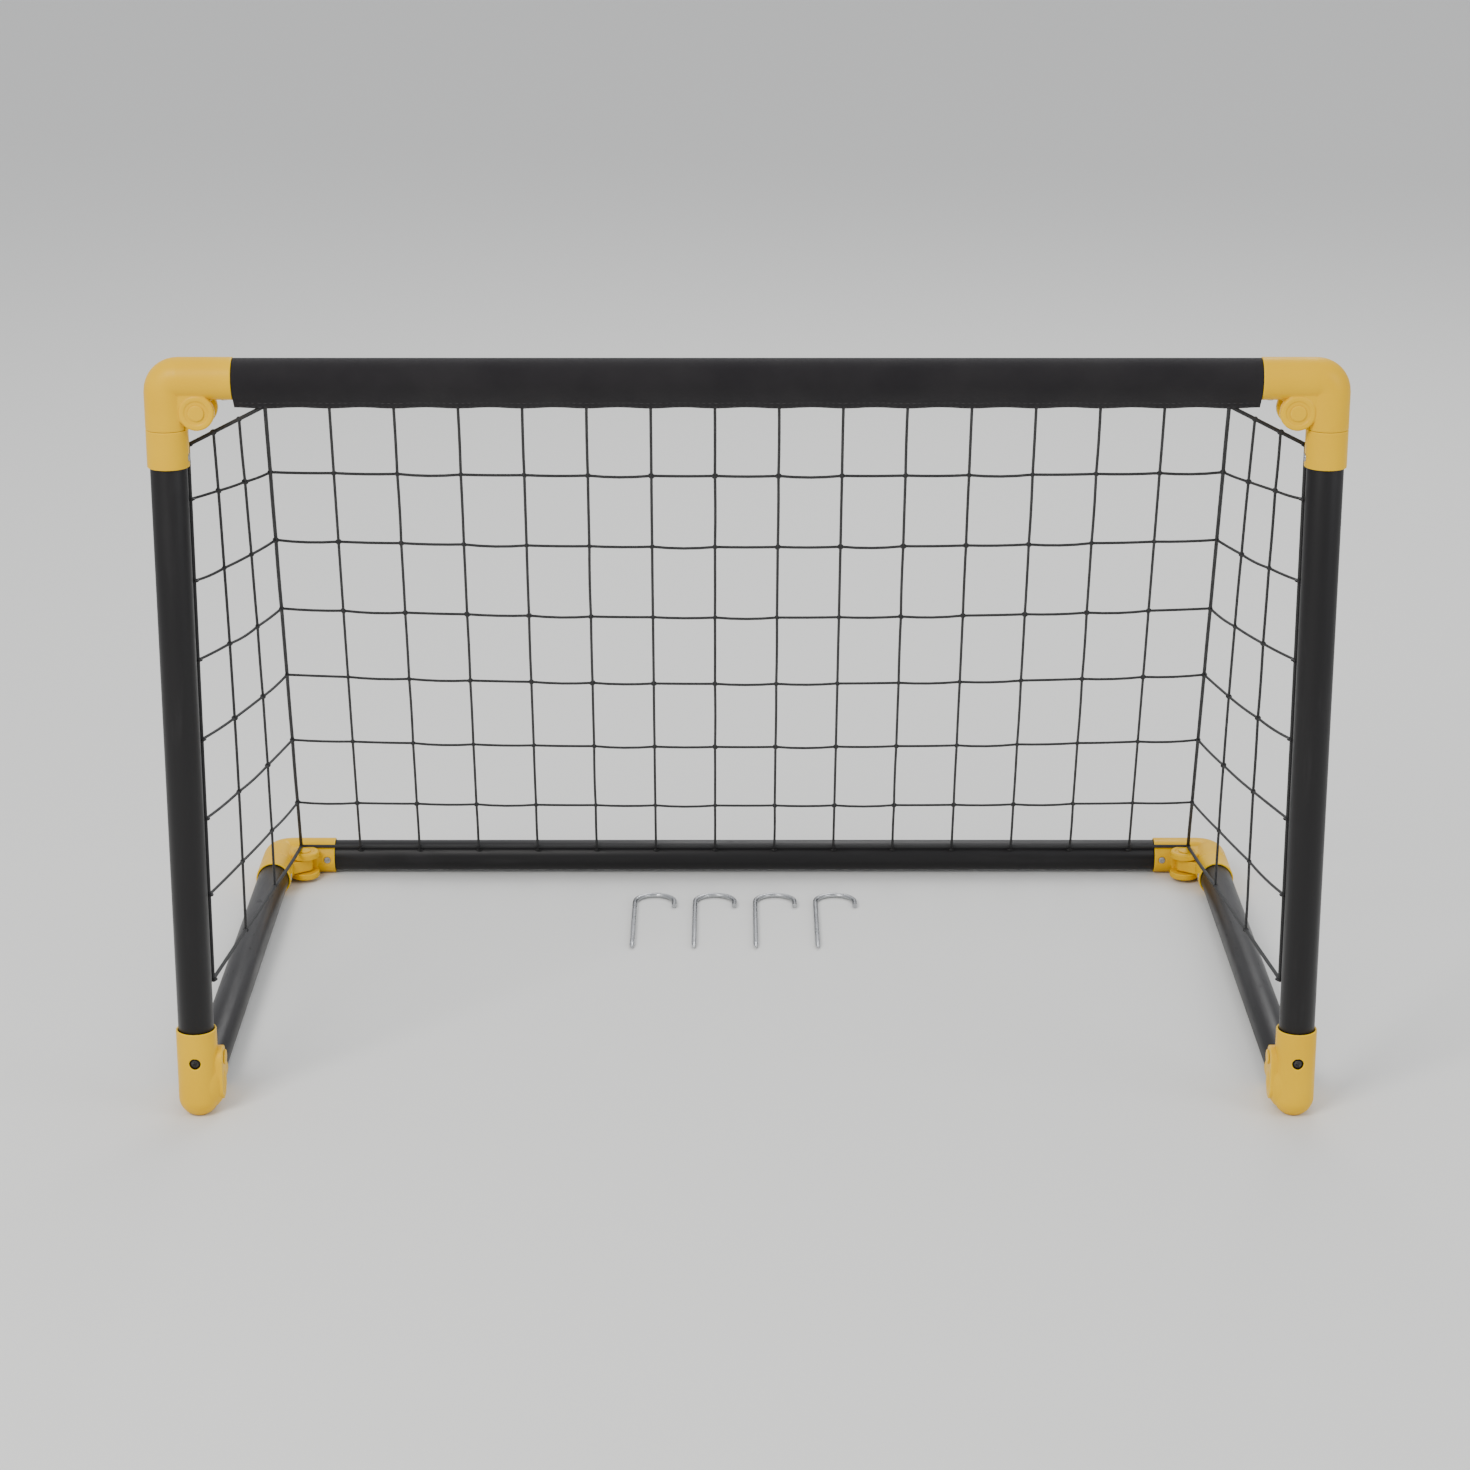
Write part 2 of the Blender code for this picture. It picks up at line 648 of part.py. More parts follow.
def make_tubes(frames, plastic):
    make_bar("crossbar_tube", FRONT_Y, CROSSBAR_Z, plastic)
    make_bar("back_tube", REAR_Y, BASE_Z, plastic)
    for side, sign in (("left", -1), ("right", 1)):
        top_pivot = frames[f"top_{side}"] @ Vector((PIVOT_OFFSET, PIVOT_OFFSET, 0))
        foot_pivot = (sign * POST_X, FOOT_PIVOT_Y, FOOT_PIVOT_Z)
        make_post(side, sign, plastic, top_pivot)
        make_side_bar(side, sign, plastic, foot_pivot)


def make_screws(steel):
    """The self-tapping screws: one through each socket into its tube."""
    screw_x = POST_X - FORK_SOCKET_END + SCREW_FROM_END
    leg_end = LEG_SOCKET_END - SCREW_FROM_END
    front_screw = FRONT_Y + SIDE_SOCKET_END - SCREW_FROM_END
    for side, sign in (("left", -1), ("right", 1)):
        x = sign * POST_X
        places = {
            "crossbar": ((sign * screw_x, FRONT_Y, CROSSBAR_Z), (0, 0, -1)),
            "post": ((x, FRONT_Y, CROSSBAR_Z - leg_end), (-sign, 0, 0)),
            "foot": ((x, FRONT_Y, FOOT_SCREW_Z), (0, -1, 0)),
            "side_front": ((x, front_screw, BASE_Z), (0, 0, 1)),
            "side_rear": ((x, REAR_Y - leg_end, BASE_Z), (-sign, 0, 0)),
            "back": ((sign * screw_x, REAR_Y, BASE_Z), (0, -1, 0)),
        }
        for name, (place, way) in places.items():
            screw = moved(screw_along_z(FITTING_RADIUS), pointing(way, place))
            finish(screw, f"{side}_{name}_screw", steel)


# ---- fabric and net ----


def make_sleeve(fabric):
    """The sewn sleeve round the crossbar, drawn down to a hem that carries the net."""
    hem = [(-SLEEVE_HEM_HALF, -SLEEVE_HEM_DROP), (SLEEVE_HEM_HALF, -SLEEVE_HEM_DROP)]
    outline = hull(circle((0, 0), SLEEVE_RADIUS, ROUND) + hem)
    hole = circle((0, 0), BORE_RADIUS, ROUND)
    sleeve = plate(outline, -SLEEVE_HALF, SLEEVE_HALF, hole)
    turn = Matrix(((0, 0, 1), (1, 0, 0), (0, 1, 0))).to_4x4()
    finish(sleeve, "crossbar_sleeve", fabric, Matrix.Translation((0, FRONT_Y, CROSSBAR_Z)) @ turn)


def net_panel(corners, columns, rows):
    """An open mesh of square strings between four corners: top first, top last, bottom first, bottom last."""
    top_first, top_last, bottom_first, bottom_last = (Vector(c) for c in corners)
    bm = bmesh.new()
    bmesh.ops.create_grid(bm, x_segments=columns, y_segments=rows, size=0.5)
    for vert in bm.verts:
        along, down = vert.co.x + 0.5, 0.5 - vert.co.y
        top = top_first.lerp(top_last, along)
        bottom = bottom_first.lerp(bottom_last, along)
        vert.co = top.lerp(bottom, down)
    obj = bmesh_object(bm)
    strings = obj.modifiers.new("strings", "WIREFRAME")
    strings.thickness = STRING
    strings.use_boundary = True
    strings.use_even_offset = False
    strings.use_replace = True
    return solid_from(obj)


def net_edges():
    """The back net's top and bottom edge as (y, z), on the slope from the sleeve's hem to the back bar."""
    top = Vector((FRONT_Y, CROSSBAR_Z - SLEEVE_HEM_DROP - NET_HEM_GAP))
    bar = Vector((REAR_Y, BASE_Z))
    bottom = bar + (top - bar).normalized() * (FITTING_RADIUS + NET_BAR_GAP)
    return top, bottom


def make_nets(cord):
    """The back net on the crossbar and the side nets on the posts, each clear of its neighbours."""
    top, bottom = net_edges()
    back = [
        (-NET_TOP_HALF, *top),
        (NET_TOP_HALF, *top),
        (-NET_BOTTOM_HALF, *bottom),
        (NET_BOTTOM_HALF, *bottom),
    ]
    finish(net_panel(back, BACK_COLUMNS, NET_ROWS), "back_net", cord)
    post_x = POST_X - FITTING_RADIUS - NET_POST_GAP
    post_y = FRONT_Y + NET_POST_BACK
    slope = (bottom - top).normalized()
    corner_top = top + slope * NET_CORNER_DROP
    corner_bottom = bottom - slope * NET_CORNER_GAP
    for side, sign in (("left", -1), ("right", 1)):
        panel = [
            (sign * (NET_TOP_HALF + NET_CORNER_GAP), *corner_top),
            (sign * post_x, post_y, CROSSBAR_Z - NET_POST_TOP_DROP),
            (sign * (NET_BOTTOM_HALF + NET_CORNER_GAP), *corner_bottom),
            (sign * post_x, post_y, FOOT_HEIGHT + NET_FOOT_GAP),
        ]
        finish(net_panel(panel, SIDE_COLUMNS, NET_ROWS), f"{side}_side_net", cord)


# ---- ground pegs ----


def peg_path(x, y):
    """A hooked steel peg lying flat: its tip, its straight shank, a half circle and a short tail."""
    z = PEG_RADIUS
    end_y = y + PEG_SHANK
    shank = [(x, y, z), (x, y + PEG_TIP, z), (x, y + PEG_SHANK / 2, z)]
    bend = circle((x + PEG_HOOK_RADIUS, end_y), PEG_HOOK_RADIUS, HALF_TURN_STEPS, math.pi, -math.pi)
    tail = (x + 2 * PEG_HOOK_RADIUS, end_y - PEG_TAIL, z)
    return shank + [(px, py, z) for px, py in bend] + [tail]


def make_pegs(steel):
    """Four pegs laid side by side on the ground inside the base."""
    start_x = -PEG_PITCH * (PEG_COUNT - 1) / 2 - PEG_HOOK_RADIUS
    for i in range(PEG_COUNT):
        path = peg_path(start_x + PEG_PITCH * i, REAR_Y - PEG_ROW_BACK - PEG_SHANK)
        finish(rod(path, PEG_RADIUS), f"ground_peg_{i + 1}", steel)


def main():
    clear_scene()
    global PARTS, CUTTERS
    PARTS = new_collection(COLLECTION)
    CUTTERS = new_collection("cutters")
    yellow = new_material("golden yellow plastic", (0.72, 0.46, 0.05), 0.42)
    black = new_material("black tube plastic", (0.028, 0.026, 0.028), 0.45)
    fabric = new_material("black sleeve fabric", (0.03, 0.026, 0.03), 0.9)
    cord = new_material("black net cord", (0.015, 0.015, 0.015), 0.8)
    zinc = new_material("zinc plated steel", (0.55, 0.56, 0.57), 0.35, 1.0)
    peg_steel = new_material("bright peg steel", (0.45, 0.46, 0.47), 0.3, 1.0)
    frames = corner_frames()
    make_corners(frames, yellow, zinc)
    make_feet(yellow, zinc)
    make_tubes(frames, black)
    make_screws(zinc)
    make_sleeve(fabric)
    make_nets(cord)
    make_pegs(peg_steel)


main()
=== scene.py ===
# %% [markdown]
# # A small folding garden goal
#
# The goal has a front frame of black plastic pipe and a base of the same pipe that folds up behind it.
# Golden yellow moulded corners and feet hold the pipes, a black net slopes from the crossbar to the back
# bar, a sewn sleeve covers the crossbar, and four steel pegs lie ready inside.
#
# The working model of the goal comes first. It is loaded as a fixed frame, and the pieces below take their
# places and main sizes from it, in metres.

# %% Load the frame
import json
import math

import bpy
from mathutils import Matrix, Vector


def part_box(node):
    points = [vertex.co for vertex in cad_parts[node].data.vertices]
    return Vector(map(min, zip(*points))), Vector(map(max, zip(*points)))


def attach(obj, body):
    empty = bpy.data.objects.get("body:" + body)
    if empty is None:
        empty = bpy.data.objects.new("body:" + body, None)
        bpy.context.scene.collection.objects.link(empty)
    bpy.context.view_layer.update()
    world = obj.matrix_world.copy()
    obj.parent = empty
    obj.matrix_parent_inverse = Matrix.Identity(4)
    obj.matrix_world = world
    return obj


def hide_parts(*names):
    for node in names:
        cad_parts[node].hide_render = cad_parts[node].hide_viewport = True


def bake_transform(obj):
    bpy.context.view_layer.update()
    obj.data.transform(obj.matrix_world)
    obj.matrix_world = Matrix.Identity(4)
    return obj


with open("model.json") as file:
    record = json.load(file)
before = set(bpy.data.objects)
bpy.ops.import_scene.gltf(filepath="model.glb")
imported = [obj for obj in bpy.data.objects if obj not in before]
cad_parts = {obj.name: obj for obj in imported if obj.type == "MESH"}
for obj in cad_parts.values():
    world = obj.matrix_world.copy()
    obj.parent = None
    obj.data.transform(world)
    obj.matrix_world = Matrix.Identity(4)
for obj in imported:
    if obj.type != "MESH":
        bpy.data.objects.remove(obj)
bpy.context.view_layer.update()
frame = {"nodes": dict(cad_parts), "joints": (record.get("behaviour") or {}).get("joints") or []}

# %% [markdown]
# ## Camera, floor and light
#
# The goal is looked at from the front and a little above, from nearly three metres away with a long lens,
# so its posts stay almost parallel and the base shows behind them. The floor is one large plane, which
# fills the whole view. Black plastic only shows its roundness in its highlights, so the key light is a wide
# soft panel in front and above, a second one fills the other side, and a third behind draws a thin bright
# line along the tops of the pipes.

# %% Camera
EYE = (-0.009, -2.956, 1.182)
LOOK_DOWN = math.radians(17.95)
LENS_MM = 89.7

bpy.ops.object.select_all(action="DESELECT")
bpy.ops.object.camera_add(location=EYE, rotation=(math.radians(90) - LOOK_DOWN, 0, 0))
camera = bpy.context.object
camera.name = "camera"
camera.data.lens = LENS_MM
bpy.context.scene.camera = camera
print("camera", round(Vector(EYE).length, 2), "m from the middle of the goal")


# %% Floor and light
def light_panel(name, place, target, size, power, colour=(1, 1, 1)):
    """A square soft light that faces a point."""
    bpy.ops.object.light_add(type="AREA", location=place)
    panel = bpy.context.object
    panel.name = name
    panel.rotation_euler = (Vector(target) - Vector(place)).to_track_quat("-Z", "Y").to_euler()
    panel.data.size = size
    panel.data.energy = power
    panel.data.color = colour
    return panel


GOAL_MIDDLE = (0, 0, 0.3)
light_panel("key_light", (-1.5, -2.3, 2.4), GOAL_MIDDLE, 1.2, 78, (1.0, 0.985, 0.96))
light_panel("fill_light", (2.2, -1.5, 1.5), GOAL_MIDDLE, 1.4, 18, (0.95, 0.975, 1.0))
light_panel("back_light", (0.4, 2.2, 2.4), GOAL_MIDDLE, 1.6, 34)

world = bpy.data.worlds.new("studio_air")
world.use_nodes = True
world.node_tree.nodes["Background"].inputs["Color"].default_value = (0.96, 0.97, 1.0, 1.0)
world.node_tree.nodes["Background"].inputs["Strength"].default_value = 0.85
bpy.context.scene.world = world

bpy.ops.mesh.primitive_plane_add(size=40)
floor = bpy.context.object
floor.name = "floor"
floor_paint = bpy.data.materials.new("pale_floor")
floor_paint.use_nodes = True
floor_shader = floor_paint.node_tree.nodes["Principled BSDF"]
floor_shader.inputs["Base Color"].default_value = (0.74, 0.74, 0.72, 1.0)
floor_shader.inputs["Roughness"].default_value = 0.85
floor.data.materials.append(floor_paint)
print("three soft lights and a pale floor")

# %% [markdown]
# ## Sizes read from the frame
#
# A moulded corner is drawn once in its own small frame: X runs along the pipe that carries it, Y along the
# leg that swings, Z along the hinge pin, and the crossing of the two pipes is the origin. The numbers
# below place that frame at the four corners and say how long the sockets are. The boxes of the working
# pieces give almost all of them; the few that no box shows are named here.

# %% Sizes
MM = 0.001


def joint_place(name):
    """Where a joint's axis passes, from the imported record."""
    return Vector(next(j["pos_m"] for j in frame["joints"] if j["name"] == name))


post_low, post_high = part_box("right_post_tube")
bar_low, bar_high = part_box("crossbar_tube")
back_low, back_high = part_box("back_tube")
fork_low, fork_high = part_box("top_right_crossbar_fitting")
socket_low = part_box("top_right_post_fitting")[0]

POST_X = (post_low.x + post_high.x) / 2
FRONT_Y = (post_low.y + post_high.y) / 2
CROSSBAR_Z = (bar_low.z + bar_high.z) / 2
REAR_Y = (back_low.y + back_high.y) / 2
BASE_Z = (back_low.z + back_high.z) / 2
PIPE_RADIUS = (bar_high.z - bar_low.z) / 2
FITTING_RADIUS = fork_high.z - CROSSBAR_Z
TOP_PIVOT = joint_place("right_fold")
FOOT_PIVOT = joint_place("right_foot_hinge")
PIVOT = POST_X - TOP_PIVOT.x
FORK_END = POST_X - fork_low.x
FORK_LEG_END = CROSSBAR_Z - fork_low.z
LEG_SOCKET_END = CROSSBAR_Z - socket_low.z

FIT_GAP = 0.3 * MM
PIPE_WALL = 1.4 * MM
BEND_RADIUS = 9.5 * MM
BOSS_RADIUS = 13.5 * MM
BOSS_HALF = 12.0 * MM
EYE_RADIUS = 7.5 * MM
TONGUE_HALF = 5.5 * MM
SLOT_HALF = 6.8 * MM
HOOD_WALL = 4.5 * MM
PIN_RADIUS = 3.0 * MM
PIN_HOLE_RADIUS = PIN_RADIUS + FIT_GAP
LEG_SOCKET_START = FORK_LEG_END + FIT_GAP
BORE_RADIUS = PIPE_RADIUS + FIT_GAP
print("pipe Ø", round(PIPE_RADIUS * 2000, 1), "mm, fitting Ø", round(FITTING_RADIUS * 2000, 1), "mm")

# %% [markdown]
# ## Workshop helpers
#
# Nearly every piece is made the same way: add a primitive, put its place into its mesh, join or cut it with
# others, and finish it with a modifier that is applied at once. These few helpers say that in one word
# each. An operator works on whatever is selected, so each helper selects exactly what it needs.


# %% Helpers for shapes
def only(obj):
    """Makes obj the one selected and active object."""
    bpy.ops.object.select_all(action="DESELECT")
    obj.select_set(True)
    bpy.context.view_layer.objects.active = obj
    return obj


def settled(obj):
    """Writes the object's place into its mesh, so that the object itself sits at the origin."""
    only(obj)
    bpy.ops.object.transform_apply(location=True, rotation=True, scale=True)
    return obj


def shaped(obj, kind, **values):
    """Adds a modifier with these values and applies it."""
    only(obj)
    modifier = obj.modifiers.new(kind.lower(), kind)
    for name, value in values.items():
        setattr(modifier, name, value)
    bpy.ops.object.modifier_apply(modifier=modifier.name)
    return obj


def combined(obj, tools, operation):
    """obj joined with, or cut by, each tool in turn; the tools are used up."""
    for tool in tools:
        shaped(obj, "BOOLEAN", operation=operation, solver="EXACT", object=tool)
        bpy.data.objects.remove(tool)
    return obj


def joined(objects):
    """Several objects as one mesh object, the first one's."""
    only(objects[0])
    for obj in objects[1:]:
        obj.select_set(True)
    bpy.ops.object.join()
    return bpy.context.object


def tidy_skin(obj):
    """Merges doubles and turns every face outwards."""
    only(obj)
    bpy.ops.object.mode_set(mode="EDIT")
    bpy.ops.mesh.select_all(action="SELECT")
    bpy.ops.mesh.remove_doubles(threshold=0.00001)
    bpy.ops.mesh.normals_make_consistent(inside=False)
    bpy.ops.object.mode_set(mode="OBJECT")
    return obj


def smooth(obj, degrees=35):
    only(obj)
    bpy.ops.object.shade_smooth_by_angle(angle=math.radians(degrees))
    return obj


def copied(obj, matrix):
    """A copy of obj with its own mesh, placed by matrix; a mirrored copy is turned the right way out."""
    twin = obj.copy()
    twin.data = obj.data.copy()
    bpy.context.scene.collection.objects.link(twin)
    twin.data.transform(matrix)
    if matrix.determinant() < 0:
        twin.data.flip_normals()
    return twin


# %% [markdown]
# Round bars, blocks and webbed plates are the raw stock for the mouldings. The webbed plate is what a
# moulder draws for a lug: round bosses with flat walls pulled tight between them, which is exactly what
# the convex hull operator makes of a few discs.


# %% Raw stock
STOCK_SIDES = 64
SEAT_SIDES = 42
HOLE_SIDES = 32
SKIN_VOXEL = 0.55 * MM


def round_bar(start, end, radius, sides=STOCK_SIDES, ends="NGON"):
    """A cylinder from start to end; ends="NOTHING" leaves it open."""
    start, end = Vector(start), Vector(end)
    axis = end - start
    bpy.ops.mesh.primitive_cylinder_add(
        vertices=sides,
        radius=radius,
        depth=axis.length,
        end_fill_type=ends,
        location=(start + end) / 2,
        rotation=axis.to_track_quat("Z", "Y").to_euler(),
    )
    return settled(bpy.context.object)


def block(low, high):
    low, high = Vector(low), Vector(high)
    bpy.ops.mesh.primitive_cube_add(size=1, location=(low + high) / 2, scale=high - low)
    return settled(bpy.context.object)


def webbed(discs, low, high):
    """A plate from height low to height high, drawn tight round discs given as (x, y, radius)."""
    plate = joined([round_bar((x, y, low), (x, y, high), radius) for x, y, radius in discs])
    bpy.ops.object.mode_set(mode="EDIT")
    bpy.ops.mesh.select_all(action="SELECT")
    bpy.ops.mesh.convex_hull()
    bpy.ops.object.mode_set(mode="OBJECT")
    return plate


def moulded(obj):
    """Rebuilds the skin in small even faces and relaxes it: every edge gets the small radius of a mould."""
    shaped(obj, "REMESH", mode="VOXEL", voxel_size=SKIN_VOXEL, use_smooth_shade=True)
    shaped(obj, "SMOOTH", factor=0.5, iterations=3)
    return obj


print("raw stock ready")

# %% [markdown]
# ## Finishes
#
# Each finish is one Principled material. Two patterns are made once as node groups: handling marks (soft
# blotches and fine scratches, which change the roughness) and a fine grain for moulded surfaces. The twist
# of a cord is one recipe that makes two finishes. The groups give masks and heights only, and the material
# decides what to do with them.


# %% Helpers for finishes
def new_group(name, inputs, outputs):
    """An empty shader node group with float inputs (name, value) and float outputs."""
    group = bpy.data.node_groups.new(name, "ShaderNodeTree")
    group.interface.new_socket("Position", in_out="INPUT", socket_type="NodeSocketVector")
    for label, value in inputs:
        socket = group.interface.new_socket(label, in_out="INPUT", socket_type="NodeSocketFloat")
        socket.default_value = value
    for label in outputs:
        group.interface.new_socket(label, in_out="OUTPUT", socket_type="NodeSocketFloat")
    entry = group.nodes.new("NodeGroupInput")
    leave = group.nodes.new("NodeGroupOutput")
    return group, entry, leave


def node(tree, kind, **values):
    """A node of this kind; a value is set on the node itself or on the input of that name."""
    made = tree.nodes.new("ShaderNode" + kind)
    for name, value in values.items():
        if hasattr(made, name):
            setattr(made, name, value)
        else:
            made.inputs[name.replace("_", " ")].default_value = value
    return made


def stretched_noise(tree, source, scale, detail, roughness=0.5):
    """A noise whose input is pulled by the vector scale first."""
    mapping = node(tree, "Mapping")
    mapping.inputs["Scale"].default_value = scale
    noise = node(tree, "TexNoise", Scale=1.0, Detail=detail, Roughness=roughness)
    tree.links.new(source, mapping.inputs["Vector"])
    tree.links.new(mapping.outputs["Vector"], noise.inputs["Vector"])
    return noise.outputs["Fac"]


def ramp(tree, source, low, high, steps=((0.0, 0.0), (1.0, 1.0))):
    """Maps source from low..high onto the values of steps, held at the ends."""
    made = node(tree, "MapRange")
    made.inputs["From Min"].default_value = low
    made.inputs["From Max"].default_value = high
    made.inputs["To Min"].default_value = steps[0][1]
    made.inputs["To Max"].default_value = steps[1][1]
    tree.links.new(source, made.inputs["Value"])
    return made.outputs["Result"]


def math_node(tree, operation, first, second):
    made = node(tree, "Math", operation=operation)
    for place, value in enumerate((first, second)):
        if isinstance(value, (int, float)):
            made.inputs[place].default_value = value
        else:
            tree.links.new(value, made.inputs[place])
    return made.outputs[0]


def blended(tree, factor, first, second):
    """A colour between two, by a mask. Each colour is three numbers or an output."""
    made = node(tree, "Mix", data_type="RGBA")
    tree.links.new(factor, made.inputs["Factor"])
    for label, value in (("A", first), ("B", second)):
        socket = next(s for s in made.inputs if s.name == label and s.type == "RGBA")
        if isinstance(value, tuple):
            socket.default_value = (*value, 1.0)
        else:
            tree.links.new(value, socket)
    return next(s for s in made.outputs if s.type == "RGBA")


def new_finish(name, roughness, metallic=0.0):
    """A material with its shader and the Object coordinates that its patterns read."""
    finish = bpy.data.materials.new(name)
    finish.use_nodes = True
    tree = finish.node_tree
    shader = tree.nodes["Principled BSDF"]
    shader.inputs["Roughness"].default_value = roughness
    shader.inputs["Metallic"].default_value = metallic
    place = node(tree, "TexCoord").outputs["Object"]
    return finish, tree, shader, place


def bumped(tree, shader, height, depth, strength=1.0):
    """Feeds a height pattern of this depth, in metres, to the shader's normal."""
    bump = node(tree, "Bump")
    bump.inputs["Strength"].default_value = strength
    bump.inputs["Distance"].default_value = depth
    tree.links.new(height, bump.inputs["Height"])
    tree.links.new(bump.outputs["Normal"], shader.inputs["Normal"])


def grouped(tree, group, position, **values):
    """Places a node group and joins its Position input."""
    made = tree.nodes.new("ShaderNodeGroup")
    made.node_tree = group
    tree.links.new(position, made.inputs["Position"])
    for name, value in values.items():
        made.inputs[name].default_value = value
    return made.outputs


# %% Shared effects: handling marks and mould grain
marks, marks_in, marks_out = new_group("handling_marks", [("Size", 40.0)], ["Blotches", "Scratches"])
scaled = node(marks, "VectorMath", operation="SCALE")
marks.links.new(marks_in.outputs["Position"], scaled.inputs[0])
marks.links.new(marks_in.outputs["Size"], scaled.inputs["Scale"])
soft = stretched_noise(marks, scaled.outputs[0], (1, 1, 1), 3.0)
hairs = stretched_noise(marks, scaled.outputs[0], (2, 2, 30), 4.0, 0.7)
cross_hairs = stretched_noise(marks, scaled.outputs[0], (26, 3, 2), 4.0, 0.7)
marks.links.new(ramp(marks, soft, 0.38, 0.68), marks_out.inputs["Blotches"])
both = math_node(marks, "MAXIMUM", ramp(marks, hairs, 0.62, 0.72), ramp(marks, cross_hairs, 0.63, 0.73))
marks.links.new(both, marks_out.inputs["Scratches"])

grain, grain_in, grain_out = new_group("mould_grain", [("Fineness", 1400.0)], ["Height"])
fine = node(grain, "TexNoise", Detail=2.0, Roughness=0.6)
grain.links.new(grain_in.outputs["Position"], fine.inputs["Vector"])
grain.links.new(grain_in.outputs["Fineness"], fine.inputs["Scale"])
waves = stretched_noise(grain, grain_in.outputs["Position"], (90, 90, 90), 1.0)
grains = math_node(grain, "ADD", math_node(grain, "MULTIPLY", fine.outputs["Fac"], 0.35), waves)
grain.links.new(grains, grain_out.inputs["Height"])
print("node groups:", marks.name, grain.name)

# %% [markdown]
# ### Golden yellow plastic
#
# The corners and feet are injection moulded, with the golden yellow right through. Real mouldings are never
# one flat colour: the pigment drifts a little. Thin edges are painted paler: partly painted light, as if
# light glowed in the thin plastic, and partly wear where hands rub them. The creases are painted dark orange
# as painted shade. The Pointiness of the surface finds edges and creases. It needs a fine mesh, and the
# mouldings have one.


# %% Golden yellow plastic
def golden_plastic():
    finish, tree, shader, place = new_finish("golden_yellow_plastic", 0.38)
    handled = grouped(tree, marks, place, Size=42.0)
    drift = stretched_noise(tree, place, (14, 14, 14), 2.0)
    body = blended(tree, ramp(tree, drift, 0.35, 0.65), (0.735, 0.415, 0.0), (0.790, 0.465, 0.001))
    bend = node(tree, "NewGeometry").outputs["Pointiness"]
    # Edges are painted paler: partly painted light glowing in the thin plastic, partly rubbing wear.
    edges = ramp(tree, bend, 0.515, 0.56)
    # Creases are painted dark orange: painted shade.
    crease_shade = ramp(tree, bend, 0.485, 0.45)
    pale = blended(tree, math_node(tree, "MULTIPLY", edges, 0.55), body, (0.88, 0.60, 0.03))
    dark = blended(tree, math_node(tree, "MULTIPLY", crease_shade, 0.6), pale, (0.40, 0.12, 0.003))
    tree.links.new(dark, shader.inputs["Base Color"])
    worn = ramp(tree, handled["Blotches"], 0.0, 1.0, ((0, 0.33), (1, 0.46)))
    rough = math_node(tree, "ADD", worn, math_node(tree, "MULTIPLY", handled["Scratches"], 0.16))
    tree.links.new(rough, shader.inputs["Roughness"])
    bumped(tree, shader, grouped(tree, grain, place, Fineness=1500.0)["Height"], 0.00012, 0.5)
    shader.inputs["Specular IOR Level"].default_value = 0.16
    shader.inputs["Subsurface Weight"].default_value = 0.04
    shader.inputs["Subsurface Radius"].default_value = (0.004, 0.0025, 0.0008)
    return finish


yellow = golden_plastic()
print("finish:", yellow.name)

# %% [markdown]
# ### Black pipe plastic
#
# The pipes are extruded, so the die leaves faint lines along them, and sliding them in and out of the
# sockets leaves scratches the same way. A noise pulled long in the direction of the pipe draws both. The
# pipes lie in three directions, so the same recipe is made once for each.


# %% Black pipe plastic
def pipe_plastic(name, along):
    """Satin black plastic, with its die lines along one axis: 0, 1 or 2."""
    finish, tree, shader, place = new_finish(name, 0.4)
    lines_scale, rub_scale = [700.0] * 3, [55.0] * 3
    lines_scale[along], rub_scale[along] = 2.5, 7.0
    lines = stretched_noise(tree, place, lines_scale, 2.0)
    rubs = stretched_noise(tree, place, rub_scale, 4.0, 0.65)
    handled = grouped(tree, marks, place, Size=24.0)
    rubbed = math_node(tree, "MULTIPLY", ramp(tree, rubs, 0.52, 0.72), handled["Blotches"])
    body = blended(tree, rubbed, (0.0062, 0.0056, 0.0062), (0.015, 0.0142, 0.015))
    tree.links.new(body, shader.inputs["Base Color"])
    satin = ramp(tree, rubs, 0.3, 0.7, ((0, 0.34), (1, 0.48)))
    scratched = math_node(tree, "MULTIPLY", handled["Scratches"], 0.12)
    tree.links.new(math_node(tree, "ADD", satin, scratched), shader.inputs["Roughness"])
    bumped(tree, shader, lines, 0.00010, 0.45)
    shader.inputs["Specular IOR Level"].default_value = 0.3
    return finish


pipe_finish = [pipe_plastic(f"black_pipe_plastic_{axis}", i) for i, axis in enumerate("xyz")]
print("finishes:", [f.name for f in pipe_finish])

# %% [markdown]
# ### Cloth, cord and steel
#
# The sleeve is plain woven polyester. Its weave follows the cloth, so it reads the piece's own UV map,
# which is measured in metres along and around the sleeve; two sine waves make the over and under of the
# threads. The net cord is twisted: slanting bands give it its strands. The screws are zinc plated
# steel that has dulled; the screws deep in the feet are near black, which is painted shade of their
# wells. The pegs are bright drawn wire with lines along them.


# %% Cloth
THREAD = 0.9 * MM


